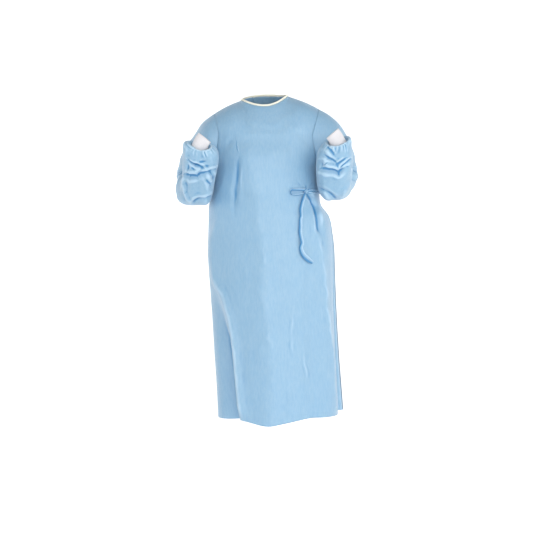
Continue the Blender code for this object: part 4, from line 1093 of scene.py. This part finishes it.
def cuff_rows(arm):
    """The cuff's rings, from the sleeve's last ring, leaning towards the hand."""
    seam = arm.lower[-1]
    first = lower_ring(arm, seam)
    centre = sum(first, Vector()) / RING_POINTS
    turn = math.radians(seam.turn)
    forearm_axis = Vector((0.0, -math.sin(turn), -math.cos(turn)))
    swing = forearm_axis.rotation_difference(arm.cuff_lean.normalized())
    to_seam = Quaternion().slerp(swing, seam.lean)
    rings = []
    middle = centre.copy()
    for k in range(CUFF_RINGS + 1):
        share = k / CUFF_RINGS
        leant = Quaternion().slerp(swing, mix(seam.lean, 1.0, share))
        scale = mix(1.0, CUFF_MOUTH_SCALE, share) - CUFF_WAIST * math.sin(math.pi * share)
        from_seam = leant @ to_seam.inverted()
        rings.append([middle + from_seam @ ((point - centre) * scale) for point in first])
        middle = middle + (leant @ forearm_axis) * (CUFF_LENGTH / CUFF_RINGS)
    return rings


def path_object(name, paths, closed=False):
    """Lines in space as the edges of a mesh, for a geometry nodes tree to work on."""
    points, edges = [], []
    for path in paths:
        start = len(points)
        points += path
        edges += [(start + k, start + k + 1) for k in range(len(path) - 1)]
        if closed:
            edges.append((start + len(path) - 1, start))
    mesh = bpy.data.meshes.new(name)
    mesh.from_pydata(points, edges, [])
    return add_object(name, mesh)


def run_tree(piece, tree, values):
    """Put a geometry nodes tree on a piece with its sizes, and keep the plain mesh that it makes."""
    modifier = piece.modifiers.new(tree.name, "NODES")
    modifier.node_group = tree
    for item in tree.interface.items_tree:
        if item.item_type == "SOCKET" and item.in_out == "INPUT" and item.name in values:
            modifier[item.identifier] = values[item.name]
    seen = bpy.context.evaluated_depsgraph_get()
    mesh = bpy.data.meshes.new_from_object(piece.evaluated_get(seen))
    piece.modifiers.remove(modifier)
    piece.data = mesh
    mesh.name = piece.name
    mesh.shade_smooth()
    return piece


def end_tree(tree, result, made, finish):
    """End a geometry nodes tree: its instances are made real and given their material."""
    real = add_node(tree, "GeometryNodeRealizeInstances", {0: made})
    finished = add_node(tree, "GeometryNodeSetMaterial", {"Geometry": real, "Material": finish})
    fill(tree, result, {0: finished})
    return tree


def piping_tree():
    """A round bead along each line."""
    tree, given, result = add_group("piping", "GeometryNodeTree", [
        ("Geometry", "Geometry", None), ("Radius", "Float", 0.001), ("Sides", "Int", 6),
        ("Finish", "Material", None),
    ], [("Geometry", "Geometry")])
    line = add_node(tree, "GeometryNodeMeshToCurve", {"Mesh": given["Geometry"]})
    ring = add_node(tree, "GeometryNodeCurvePrimitiveCircle",
                    {"Resolution": given["Sides"], "Radius": given["Radius"]})
    bead = add_node(tree, "GeometryNodeCurveToMesh",
                    {"Curve": line, "Profile Curve": ring, "Fill Caps": True})
    return end_tree(tree, result, bead, given["Finish"])


PIPING = piping_tree()


def plain_knit_material(name, colour):
    """Knit seen on the round of a rib, where the loops are too small to lie on a flat pattern."""
    material, tree, shader = new_material(name)
    place = add_node(tree, "ShaderNodeTexCoord").outputs["Object"]
    loops = add_node(tree, "ShaderNodeTexWave", {
        "Vector": place, "Scale": 420.0, "Distortion": 2.5, "Detail": 1.0,
    }, bands_direction="Z").outputs[1]
    relief = add_node(tree, "ShaderNodeBump", {"Height": loops, "Strength": 0.5, "Distance": 0.0004})
    # Painted shade: the ribs' colour darkens where their loops lie low.
    tint = add_scaled(tree, colour, add_range(tree, loops, 0.0, 1.0, 0.82, 1.0))
    fill(tree, shader, {"Base Color": tint, "Normal": relief, "Roughness": 0.9, **KNIT_SHEEN})
    return material


rib_knit = plain_knit_material("white_rib", (0.90, 0.885, 0.90))
for arm in (LEFT_ARM, RIGHT_ARM):
    rows = cuff_rows(arm)
    cuff = cloth_piece(
        f"gown_cuff_{arm.side}", rows, white_knit, ring=True, turn=-arm.sign, thickness=KNIT_WALL,
    )
    spacing = RING_POINTS / RIBS
    rib_paths = [[ring[round(k * spacing)] for ring in rows] for k in range(RIBS)]
    ribs = path_object(f"cuff_ribs_{arm.side}", rib_paths)
    run_tree(ribs, PIPING, {"Radius": RIB_RADIUS, "Sides": 6, "Finish": rib_knit})
    edge = path_object(f"cuff_edge_{arm.side}", [rows[-1][::3]], closed=True)
    run_tree(edge, PIPING, {"Radius": EDGE_RADIUS, "Sides": 8, "Finish": rib_knit})
    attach(cuff, "root")
    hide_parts(f"cuff_{arm.side}")
    for trim in (ribs, edge):
        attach(trim, "root")

# ================================================================== neck tape
# Cream bias tape, folded over the raw neck edge and sewn down, from the inner back panel's edge round
# the front to the wrap flap's edge.

BINDING_WIDTH = 0.0075
BINDING_GAP = 0.0006
BINDING_LEAN = Vector((0.55, 0.45, 0.85))
BINDING_WALL = 0.0024
TAPE_STEPS = 64          # along each stretch
TAPE_PROFILE = 12
THREAD = 0.00028
WEAVE_RELIEF = 0.0001
TAPE_FLUTTER, TAPE_FLUTTER_SCALE = 0.0004, 90.0
TAPE_HEIGHT_POWER, TAPE_DEPTH_POWER = 0.55, 0.8  # how square its fold is, along and across
TAPE_SEWN_DOWN, TAPE_SEWN_OUT = 0.30, 0.46  # where its seam lies, as shares of its width and its wall
NORMAL_STEP = 0.02       # as s and as rows, over which the cloth's direction is felt


def weave_group():
    """Plain woven tape: fine threads that cross on the bias."""
    tree, given, result = add_group("tape_weave", "ShaderNodeTree", [
        ("Pattern", "Vector", None), ("Colour", "Color", (0.9, 0.9, 0.75, 1.0)),
        ("Deep colour", "Color", (0.8, 0.78, 0.6, 1.0)), ("Thread pitch", "Float", 0.0007),
    ], CLOTH_OUTPUTS)
    threads_per_metre = add_math(tree, "DIVIDE", 2 * math.pi, given["Thread pitch"])
    scaled = add_scaled(tree, on_bias(tree, given["Pattern"]), threads_per_metre)
    parts = add_node(tree, "ShaderNodeSeparateXYZ", {0: scaled}).outputs
    woven = add_math(tree, "MULTIPLY", *(add_math(tree, "SINE", parts[axis]) for axis in "XY"))
    raised = add_range(tree, woven, -1.0, 1.0)
    height = add_math(tree, "MULTIPLY", raised, WEAVE_RELIEF)
    # Painted shade: the threads' colour darkens where they pass under.
    colour = add_mix(tree, raised, given["Deep colour"], given["Colour"])
    rough = add_range(tree, raised, 0.0, 1.0, 0.85, 0.7)
    fill(tree, result, {"Colour": colour, "Height": height, "Roughness": rough})
    return tree


TAPE_SHEEN = {"Sheen Weight": 0.2, "Sheen Roughness": 0.5, "Specular IOR Level": 0.35}
cream_tape = cloth_material(
    "cream_tape", weave_group(),
    {"Colour": (0.97, 0.965, 0.84, 1.0), "Deep colour": (0.90, 0.89, 0.73, 1.0)}, 0.6, TAPE_SHEEN,
)


def neck_direction(face, s):
    """The way the tape stands on the neck edge: up, and in towards the neck."""
    round_neck = s / NECK_SHARE * math.pi / 2
    inward_x = -BINDING_LEAN.x * math.sin(round_neck)
    inward_y = BINDING_LEAN.y * math.cos(round_neck) * (1 if face == "front" else -1)
    return Vector((inward_x, inward_y, BINDING_LEAN.z)).normalized()


def surface_normal(face, s, row, lift=0.0):
    """The outward direction of the cloth at a place of the body."""
    step = NORMAL_STEP
    across = body_point(face, s + step, row, lift) - body_point(face, s - step, row, lift)
    down = body_point(face, s, row + step, lift) - body_point(face, s, max(row - step, 0.0), lift)
    return (down.cross(across) * (1 if face == "front" else -1)).normalized()


def neck_route():
    """Places along the neck edge: face, s, and lift, from the inner back edge to the wrap flap's."""
    inner_s, outer_s = FLAP_EDGES[0].inner, FLAP_EDGES[0].outer
    stretches = (
        ("back", inner_s, NECK_SHARE, 0.0),
        ("front", NECK_SHARE, -NECK_SHARE, 0.0),
        ("back", -NECK_SHARE, outer_s, None),
    )
    route = []
    for face, start, end, lift in stretches:
        for k in range(TAPE_STEPS + 1):
            s = mix(start, end, k / TAPE_STEPS)
            route.append((face, s, flap_lift(s, 0.0) if lift is None else lift))
        route.pop()
    return route + [("back", outer_s, flap_lift(outer_s, 0.0))]


def neck_tape():
    """The tape's ring of outside points at each place, as a folded strip with round edges."""
    rings, sewn = [], []
    for face, s, lift in neck_route():
        low = body_point(face, s, 0.0, lift)
        up = neck_direction(face, s)
        out = surface_normal(face, s, 0.0, lift)
        out = (out - up * out.dot(up)).normalized()
        middle = low + up * (BINDING_GAP + BINDING_WIDTH / 2)
        middle += up * TAPE_FLUTTER * noise.noise(low * TAPE_FLUTTER_SCALE)
        ring = []
        for k in range(TAPE_PROFILE):
            angle = 2 * math.pi * k / TAPE_PROFILE
            c, w = math.cos(angle), math.sin(angle)
            height = math.copysign(abs(c) ** TAPE_HEIGHT_POWER, c) * BINDING_WIDTH / 2
            depth = math.copysign(abs(w) ** TAPE_DEPTH_POWER, w) * BINDING_WALL / 2
            ring.append(middle + up * height + out * depth)
        rings.append(ring)
        sewn.append(middle - up * BINDING_WIDTH * TAPE_SEWN_DOWN + out * BINDING_WALL * TAPE_SEWN_OUT)
    return rings, sewn


def close_ends(piece, rows):
    """Close the two ends of a tube."""
    mesh, count = piece.data, len(rows[0])
    work = bmesh.new()
    work.from_mesh(mesh)
    work.verts.ensure_lookup_table()
    for start in (0, (len(rows) - 1) * count):
        work.faces.new([work.verts[start + k] for k in range(count)])
    bmesh.ops.recalc_face_normals(work, faces=work.faces)
    work.to_mesh(mesh)
    work.free()
    return piece


tape_rings, tape_sewn = neck_tape()
tape = cloth_piece("gown_neck_tape", tape_rings, cream_tape, ring=True, thickness=0.0)
close_ends(tape, tape_rings)


def stitch_tree():
    """Stitches along each line: a bar of thread at every pitch, turned along the line."""
    tree, given, result = add_group("stitches", "GeometryNodeTree", [
        ("Geometry", "Geometry", None), ("Pitch", "Float", 0.004), ("Stitch length", "Float", 0.003),
        ("Thread", "Float", THREAD), ("Finish", "Material", None),
    ], [("Geometry", "Geometry")])
    line = add_node(tree, "GeometryNodeMeshToCurve", {"Mesh": given["Geometry"]})
    places = add_node(tree, "GeometryNodeResampleCurve",
                      {"Curve": line, "Length": given["Pitch"]}, mode="LENGTH")
    tangent = add_node(tree, "GeometryNodeInputTangent")
    turned = add_node(tree, "FunctionNodeAlignRotationToVector", {"Vector": tangent}, axis="Z")
    half = add_math(tree, "MULTIPLY", given["Stitch length"], 0.5)
    size = add_node(tree, "ShaderNodeCombineXYZ", {"X": given["Thread"], "Y": given["Thread"], "Z": half})
    bar = add_node(tree, "GeometryNodeMeshIcoSphere", {"Radius": 1.0, "Subdivisions": 1})
    placed = add_node(tree, "GeometryNodeInstanceOnPoints",
                      {"Points": places, "Instance": bar, "Rotation": turned, "Scale": size})
    return end_tree(tree, result, placed, given["Finish"])


STITCHES = stitch_tree()


def thread_material(name, colour):
    """Spun thread: a fine twist of light and dark."""
    material, tree, shader = new_material(name)
    twist = add_noise(tree, add_node(tree, "ShaderNodeTexCoord").outputs["Object"], 2600.0)
    tint = add_scaled(tree, colour, add_range(tree, twist, 0.0, 1.0, 0.8, 1.05))
    fill(tree, shader, {"Base Color": tint, "Roughness": 0.6})
    return material


cream_thread = thread_material("cream_thread", (0.80, 0.79, 0.62))
blue_thread = thread_material("blue_thread", (0.33, 0.58, 0.83))


def sew(name, paths, slot, thread, pitch=0.0040, length=0.0030, thickness=THREAD):
    """A piece's stitches, as one mesh."""
    stitches = path_object(name, paths)
    run_tree(stitches, STITCHES,
             {"Pitch": pitch, "Stitch length": length, "Thread": thickness, "Finish": thread})
    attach(stitches, "root")
    return stitches


tape_stitches = sew("neck_tape_stitches", [tape_sewn], "cream_tape", cream_thread)
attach(tape, "root")
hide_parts("neck_binding")

# ================================================================== neck tab
# A plain hook-and-loop tab that closes the back of the neck. It is sewn to the wrap flap's edge and
# pressed down on the inner back panel.

TAB_ROWS = (1.1, 1.9)
TAB_START_S, TAB_END_S = 0.02, 0.27
TAB_LANDING = (0.02, 0.10)
TAB_STEPS, TAB_ACROSS = 48, 12
LIE_GAP = 0.0008
WALL = 0.0016
TAB_CORNER = 0.012       # as s, over which the tab's end is rounded
TAB_WALL = 0.0011
TAB_SEWN_S = (0.008, 0.014)            # how far in from its two ends it is sewn, as s
TAB_SEWN_ROWS = 0.1      # and from its two sides, in rows
ON_TOP = 0.0001          # how far its thread lies on it


def across_flap(run, row, lift, landing):
    """A point of a strip that lies on the wrap flap and comes down past its edge to what is under it.

    run is s across the back, and past 1 it goes on round the left side to the front.
    """
    edge = smooth(FLAP_EDGES, "row", row).outer
    if run <= edge:
        return body_point("back", run, row, lift + flap_lift(run, row))
    lift += flap_lift(edge, row) * (1 - ease(run, edge + landing[0], edge + landing[1]))
    if run <= 1:
        return body_point("back", run, row, lift)
    return body_point("front", 2 - run, row, lift)


tab_rows = []
for j in range(TAB_ACROSS + 1):
    high_low = j / TAB_ACROSS
    from_middle = abs(2 * high_low - 1)
    end_s = TAB_END_S - TAB_CORNER * (1 - math.sqrt(max(0.0, 1 - from_middle**4)))
    row = mix(*TAB_ROWS, high_low)
    tab_rows.append([
        across_flap(mix(TAB_START_S, end_s, k / TAB_STEPS), row, LIE_GAP + WALL, TAB_LANDING)
        for k in range(TAB_STEPS + 1)
    ])
tie_look = {**NONWOVEN_COLOURS, "Cloud size": 0.012}
blue_tie = cloth_material("blue_tie", NONWOVEN, tie_look, 1.0, NONWOVEN_SHEEN)
tab = cloth_piece("gown_neck_tab", tab_rows, blue_tie, turn=-1, thickness=TAB_WALL)
sewn_from, sewn_to = TAB_START_S + TAB_SEWN_S[0], TAB_END_S - TAB_SEWN_S[1]
tab_edge = [
    [across_flap(mix(sewn_from, sewn_to, k / TAB_STEPS), row, LIE_GAP + WALL + ON_TOP, TAB_LANDING)
     for k in range(TAB_STEPS + 1)]
    for row in (TAB_ROWS[0] + TAB_SEWN_ROWS, TAB_ROWS[1] - TAB_SEWN_ROWS)
]
tab_stitches = sew("neck_tab_stitches", tab_edge, "blue_tie", blue_thread)
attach(tab, "root")
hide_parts("neck_tab")

# ================================================================== belt
# A narrow strip of the cloth, folded lengthwise and sewn. It is fixed to the wrap flap at the back of
# the wearer's left side, comes forward at the waist, and is tied in a bow with one loop and one end.

BELT_Z = -0.3420
BELT_WIDTH = 0.0180
BELT_WALL = 0.0016
BELT_START_S = 0.74
BELT_LANDING = (0.03, 0.22)
BELT_FROM_KNOT = 0.0048
BELT_STEPS, BELT_ACROSS = 150, 12
KNOT_FOOT_X = 0.1415
KNOT_SIZE = Vector((0.0100, 0.0075, 0.0100))
HALVINGS = 24
BELT_CLOTH = 0.0010
BELT_PINCH, BELT_PINCH_FROM = 0.42, 0.90  # how much narrower the belt gets at the knot, and from where
BELT_CLEAR = 0.0008      # the room that its folds need over the cloth
BELT_FOLD, BELT_FOLDS = 0.0007, 3      # its folds lengthways: height, and half waves across
BELT_DRIFT, BELT_DRIFT_WAVES = 1.5, 7  # and how they wander along it
BELT_PLEAT, BELT_PLEATS, PLEAT_DRIFT, BELT_PLEAT_FROM = 0.0012, 5, 2.0, 0.80   # pleats beside the knot
BELT_CRUMPLE, BELT_CRUMPLE_SCALE = 0.0008, (40, 3)
BELT_SEWN_OUT, BELT_SEWN_SHORT = 0.00015, 8    # its stitches end this many steps before the knot


def row_at(z):
    """The row that lies at a height below the underarm."""
    return UNDERARM_ROW + SKIRT_ROWS * (z - UNDERARM_Z) / (HEM_Z - UNDERARM_Z)


def column_at(x, z):
    """The s at which the front panel passes through x at a height."""
    low, high = -1.0, 1.0
    for _ in range(HALVINGS):
        middle = (low + high) / 2
        if level_point("front", middle, z)[0].x < x:
            low = middle
        else:
            high = middle
    return low


belt_last = 2 - column_at(KNOT_FOOT_X + BELT_FROM_KNOT, BELT_Z)
belt_rows = []
for j in range(BELT_ACROSS + 1):
    share = j / BELT_ACROSS
    row_points = []
    for k in range(BELT_STEPS + 1):
        along = k / BELT_STEPS
        gathered = 1 - BELT_PINCH * ease(along, BELT_PINCH_FROM, 1.0)
        rise = (0.5 - share) * BELT_WIDTH * gathered
        drift = BELT_DRIFT * math.sin(BELT_DRIFT_WAVES * along)
        fold = BELT_FOLD * math.cos(BELT_FOLDS * math.pi * share + drift)
        pleat = math.cos(BELT_PLEATS * math.pi * share + PLEAT_DRIFT * along)
        fold += BELT_PLEAT * ease(along, BELT_PLEAT_FROM, 1.0) * pleat
        place = Vector((BELT_CRUMPLE_SCALE[0] * along, BELT_CRUMPLE_SCALE[1] * share, 0.0))
        fold += BELT_CRUMPLE * noise.noise(place)
        lift = LIE_GAP + BELT_WALL + BELT_CLEAR + fold
        run = mix(BELT_START_S, belt_last, along)
        row_points.append(across_flap(run, row_at(BELT_Z + rise), lift, BELT_LANDING))
    belt_rows.append(row_points)
belt = cloth_piece("gown_belt", belt_rows, blue_tie, turn=-1, thickness=BELT_CLOTH)
belt_normals = grid_normals(belt_rows, False, -1)
belt_sewn = [
    [belt_rows[j][k] + belt_normals[j][k] * BELT_SEWN_OUT for k in range(1, BELT_STEPS - BELT_SEWN_SHORT)]
    for j in (1, BELT_ACROSS - 1)
]
belt_stitches = sew("belt_stitches", belt_sewn, "blue_tie", blue_thread)
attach(belt, "root")
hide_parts("belt_band")

knot_s, knot_row = column_at(KNOT_FOOT_X, BELT_Z), row_at(BELT_Z)
knot_foot = body_point("front", knot_s, knot_row)
knot_out = surface_normal("front", knot_s, knot_row)
knot_reach = Vector(a * b for a, b in zip(knot_out, KNOT_SIZE)).length
knot_centre = knot_foot + knot_out * (knot_reach + LIE_GAP)
KNOT_RINGS, KNOT_SIDES = 40, 56
KNOT_PAD = 0.96          # the sizes of its parts, as shares of the knot's own
KNOT_ACROSS, KNOT_DOWN = 0.72, 0.69    # the way in which its band crosses it
BAND_RISE, BAND_WIDTH = 0.16, 0.34
GROOVE_DEPTH, GROOVE_STEP, GROOVE_WIDTH = 0.14, 0.47, 0.13
KNOT_PLEATS, PLEAT_RISE, PLEAT_REACH = 9, 0.05, 0.8
KNOT_UNEVEN, KNOT_UNEVEN_SCALE = 0.05, 2.3
KNOT_POLE = 0.02         # how far its end rings are from its poles, in rings


def knot_point(turn, tilt):
    """A point of the knot: a soft pad, wrapped over by a band that comes down from the upper right."""
    way = Vector((math.cos(turn) * math.cos(tilt), math.sin(tilt), math.sin(turn) * math.cos(tilt)))
    band = way.x * KNOT_ACROSS - way.z * KNOT_DOWN
    side = way.x * KNOT_DOWN + way.z * KNOT_ACROSS
    size = KNOT_PAD
    groove = GROOVE_DEPTH * math.exp(-(((abs(band) - GROOVE_STEP) / GROOVE_WIDTH) ** 2))
    size += BAND_RISE * math.exp(-((band / BAND_WIDTH) ** 2)) - groove
    size += PLEAT_RISE * math.cos(KNOT_PLEATS * band) * math.exp(-((side / PLEAT_REACH) ** 2))
    size += KNOT_UNEVEN * noise.noise(way * KNOT_UNEVEN_SCALE)
    return knot_centre + Vector(a * b * size for a, b in zip(way, KNOT_SIZE))


knot_rows = []
for i in range(KNOT_RINGS + 1):
    tilt = math.pi * (0.5 - (i + KNOT_POLE) / (KNOT_RINGS + 2 * KNOT_POLE))
    knot_rows.append([knot_point(2 * math.pi * k / KNOT_SIDES, tilt) for k in range(KNOT_SIDES)])
knot = cloth_piece("belt_knot_wrap", knot_rows, blue_tie, ring=True, thickness=0.0)
close_ends(knot, knot_rows)
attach(knot, "root")
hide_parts("belt_knot")

# The bow's one loop and its one hanging end, from the knot: x and z seen from the front, how far the
# middle of the strip stands off the cloth, its width, and how far it is turned on to its edge.
TiePoint = namedtuple("TiePoint", "x z stand_off width tilt")
TIE_UNITS = (MM, MM, MM, MM, 1)
LOOP = measured(
    TiePoint, TIE_UNITS,
    (-6, 4.2, 8.5, 7.5, 10),
    (-28, 4.6, 7, 9.2, 12),
    (-46.7, 4, 6, 9, 30),
    (-53.6, 1.5, 6, 8.4, 60),
    (-56.5, -4.8, 6, 8, 90),
    (-53.6, -11.7, 6, 8, 100),
    (-46.7, -14.6, 6, 7.6, 115),
    (-28, -14, 7, 7.4, 128),
    (-6, -9.5, 8.5, 6, 140),
)
HANGING_END = measured(
    TiePoint, TIE_UNITS,
    (-3.6, -10, 7, 9, 0),
    (-9, -25, 5, 11, 8),
    (-14.5, -43, 4.6, 11.8, 5),
    (-17.8, -69, 4.6, 11.8, -5),
    (-17, -90, 4.8, 11.2, 0),
    (-20, -103, 5, 10.8, 16),
    (-20.8, -130, 5, 11.8, 5),
    (-21.5, -150, 5, 12, 0),
    (-18, -174, 5, 11.8, -5),
    (-15.5, -188, 5, 11.8, 0),
    (-19, -207, 5.2, 13, 14),
    (-11.5, -228, 5.2, 16.5, 10),
    (3.6, -244, 5.2, 18, 6),
    (22.5, -259, 5, 12, 0),
)
TIE_STEPS = 12
TIE_ACROSS = 14
TIE_WALL = 0.0009
TIE_CRUMPLE = 0.0005
TIE_CRUMPLE_SCALE = (0.35, 2.0)        # along and across
CREST_POWER = 1.4        # how soft the crest is


def off_front(x, z, stand_off):
    """The point that stands off the front panel and is seen from the front at x and z."""
    row = row_at(z)
    outward = surface_normal("front", column_at(x, z), row)
    return body_point("front", column_at(x - outward.x * stand_off, z), row, stand_off), outward


def tie_rows(table, arch, crest):
    """A strip along the table's points. arch is how far its crest stands up between its edges."""
    route = [off_front(knot_centre.x + p.x, knot_centre.z + p.z, p.stand_off) for p in table]
    places = []
    for k in range(len(table) - 1):
        for step in range(TIE_STEPS if k < len(table) - 2 else TIE_STEPS + 1):
            t = step / TIE_STEPS
            point = between(*[p for p, _ in four_around(route, k)], t)
            outward = between(*[n for _, n in four_around(route, k)], t).normalized()
            width = between(*[p.width for p in four_around(table, k)], t)
            tilt = between(*[p.tilt for p in four_around(table, k)], t)
            places.append((point, outward, width, tilt))
    rows = []
    for k, (point, outward, width, tilt) in enumerate(places):
        run = (places[min(k + 1, len(places) - 1)][0] - places[max(k - 1, 0)][0]).normalized()
        flat = run.cross(outward).normalized()
        turned = Quaternion(run, math.radians(tilt))
        across, up = turned @ flat, turned @ flat.cross(run).normalized()
        line = []
        for j in range(TIE_ACROSS + 1):
            share = 2 * j / TIE_ACROSS - 1
            slope = (share - crest) / (1 - crest if share > crest else 1 + crest)
            place = Vector((TIE_CRUMPLE_SCALE[0] * k, TIE_CRUMPLE_SCALE[1] * share, width))
            rise = arch * (1 - abs(slope) ** CREST_POWER) + TIE_CRUMPLE * noise.noise(place)
            line.append(point + across * (share * width / 2) + up * rise)
        rows.append(line)
    return rows


# Each strip is folded lengthways. In place of its measured depth it is given painted shade along one edge
# and a painted highlight along the other.
TIE_SHADE = 2.2
SHADE_FADE, LIGHT_FADE = (0.0, 0.5), (0.1, 0.6)
for name, node, points, arch, crest, shaded, flat, area in (
    ("belt_loop_strip", "belt_loop", LOOP, 0.0016, 0.2, -1, (0.010, 0.120), 0.0010),
    ("belt_end_strip", "belt_end", HANGING_END, 0.0036, 0.35, 1, (0.013, 0.280), 0.0034),
):
    rows = tie_rows(points, arch, crest)
    strip = cloth_piece(name, rows, blue_tie, turn=1, thickness=TIE_WALL)
    shares = [shaded * (2 * j / TIE_ACROSS - 1) for j in range(TIE_ACROSS + 1)]
    painted_tones = [TIE_SHADE * (ease(share, *SHADE_FADE) - ease(-share, *LIGHT_FADE)) for share in shares]
    strip.data.attributes["hollow"].data.foreach_set("value", painted_tones * len(rows))
    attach(strip, "root")
    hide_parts(node)

# ================================================================== seams
# The side, shoulder and armhole seams are sewn from inside with blue thread, which shows as small
# stitches down in the valley of each seam. The cuffs are overlocked to the sleeves.

SEAM_LIFT = 0.0002
SHOULDER_STEPS = 40
SEAM_STITCH = {"pitch": 0.0036, "length": 0.0026}
OVERLOCK = {"pitch": 0.0024, "length": 0.0026}
OVERLOCK_OUT = (1.012, 1.03)           # its two edges: how far they lie off the cuff, as a share
OVERLOCK_ALONG = (-0.0012, 0.0012)     # and on each side of the seam
STITCHED_ROWS = [row for row in pattern_rows()[::2] if row >= UNDERARM_ROW]


def seam_paths():
    """Lines down the side seams and along the shoulder seams."""
    paths = []
    lift = SEAM_LIFT - SEAM_VALLEY
    for side in (-1.0, 1.0):
        paths.append([body_point("front", side, row, lift) for row in STITCHED_ROWS])
        shoulder = [mix(NECK_SHARE, 1.0, k / SHOULDER_STEPS) * side for k in range(1, SHOULDER_STEPS)]
        paths.append([body_point("front", s, 0.0, lift) for s in shoulder])
    return paths


sew("seam_stitches", seam_paths(), "blue_nonwoven", blue_thread, **SEAM_STITCH)
for arm in (LEFT_ARM, RIGHT_ARM):
    loop = armhole_loop(arm, SEAM_LIFT)
    sew(f"armhole_stitches_{arm.side}", [loop + loop[:1]], "blue_nonwoven", blue_thread, **SEAM_STITCH)
    seam = cuff_rows(arm)[0]
    centre = sum(seam, Vector()) / RING_POINTS
    zigzag = [
        centre + (point - centre) * OVERLOCK_OUT[k % 2]
        + arm.cuff_lean.normalized() * OVERLOCK_ALONG[k % 2]
        for k, point in enumerate(seam[::2])
    ]
    sew(f"cuff_stitches_{arm.side}", [zigzag + zigzag[:1]], "white_knit", blue_thread, **OVERLOCK)

# ================================================================== studio
# A plain pale floor that curves up all round, large soft lights, and the camera in front of the gown.

FLOOR_Z = -1.43
FLOOR_RADIUS = 7.0
WALL_RADIUS = 10.0
WALL_HEIGHT = 6.0
BOWL_SIDES = 96
BOWL_STEPS = 12
INNERMOST = 0.001        # the floor's middle, left as a pinhole
BACKDROP_GLOW = 0.75     # how bright the wall behind is, and the floor in front, at these places
FLOOR_GLOW = 0.25
GLOW_FROM, GLOW_TO = -6.0, 6.0

profile = [(0.0, FLOOR_Z), (FLOOR_RADIUS, FLOOR_Z)]
for k in range(1, BOWL_STEPS + 1):
    bend = k / BOWL_STEPS * math.pi / 2
    reach = WALL_RADIUS - FLOOR_RADIUS
    profile.append((FLOOR_RADIUS + reach * math.sin(bend), FLOOR_Z + reach * (1 - math.cos(bend))))
profile.append((WALL_RADIUS, FLOOR_Z + WALL_HEIGHT))
floor_rows = []
for radius, z in profile:
    radius = max(radius, INNERMOST)
    turns = [2 * math.pi * k / BOWL_SIDES for k in range(BOWL_SIDES)]
    floor_rows.append([Vector((radius * math.cos(turn), radius * math.sin(turn), z)) for turn in turns])
pale, pale_tree, pale_shader = new_material("studio_floor")
seen_by = add_node(pale_tree, "ShaderNodeLightPath")
floor_place = add_node(pale_tree, "ShaderNodeTexCoord").outputs["Object"]
floor_parts = add_node(pale_tree, "ShaderNodeSeparateXYZ", {0: floor_place})
backdrop = add_range(pale_tree, floor_parts.outputs["Y"], GLOW_FROM, GLOW_TO, FLOOR_GLOW, BACKDROP_GLOW)
glow = add_node(pale_tree, "ShaderNodeMix",
                {"Factor": seen_by.outputs["Is Camera Ray"], "A": backdrop, "B": BACKDROP_GLOW})
fill(pale_tree, pale_shader, {
    "Base Color": (0.70, 0.70, 0.705, 1.0), "Roughness": 0.9, "Specular IOR Level": 0.1,
    "Emission Color": (1.0, 1.0, 1.0, 1.0), "Emission Strength": glow,
})
studio = cloth_piece("studio_floor", floor_rows, pale, ring=True, thickness=0.0)

GOWN_MIDDLE = Vector((0.0065, 0.0, -0.6115))
CAMERA_PLACE = (0.0065, -4.5, -0.346)
LENS = 84.094
Lamp = namedtuple("Lamp", "name place size power colour")
LAMPS = [
    Lamp("key", (2.0, -3.9, 0.2), 2.0, 36.0, (1.0, 0.99, 0.97)),
    Lamp("front", (0.0, -4.8, -0.35), 0.9, 44.0, (1.0, 1.0, 0.99)),
    Lamp("fill", (-3.0, -3.0, -0.6), 2.4, 8.0, (0.90, 0.95, 1.0)),
    Lamp("left_rim", (3.4, -1.0, -0.2), 2.0, 16.0, (1.0, 1.0, 1.0)),
    Lamp("right_rim", (-3.0, 2.4, 0.6), 2.0, 10.0, (1.0, 1.0, 1.0)),
    Lamp("top", (0.3, -2.0, 2.4), 2.4, 22.0, (1.0, 1.0, 1.0)),
]
for lamp in LAMPS:
    data = bpy.data.lights.new(lamp.name, "AREA")
    data.shape = "DISK"
    data.size = lamp.size
    data.energy = lamp.power
    data.color = lamp.colour
    light = add_object(lamp.name, data)
    light.location = lamp.place
    light.rotation_euler = (GOWN_MIDDLE - light.location).to_track_quat("-Z", "Y").to_euler()

world = bpy.data.worlds.new("studio")
world.use_nodes = True
background = world.node_tree.nodes["Background"]
fill(world.node_tree, background, {"Color": (0.95, 0.97, 1.0, 1.0), "Strength": 0.30})
bpy.context.scene.world = world
bpy.context.scene.view_settings.view_transform = "Standard"

camera_data = bpy.data.cameras.new("camera")
camera_data.lens = LENS
camera_data.sensor_width = 36.0
camera_data.sensor_fit = "HORIZONTAL"
camera = add_object("camera", camera_data)
camera.location = CAMERA_PLACE
camera.rotation_euler = (GOWN_MIDDLE - camera.location).to_track_quat("-Z", "Y").to_euler()
bpy.context.scene.camera = camera
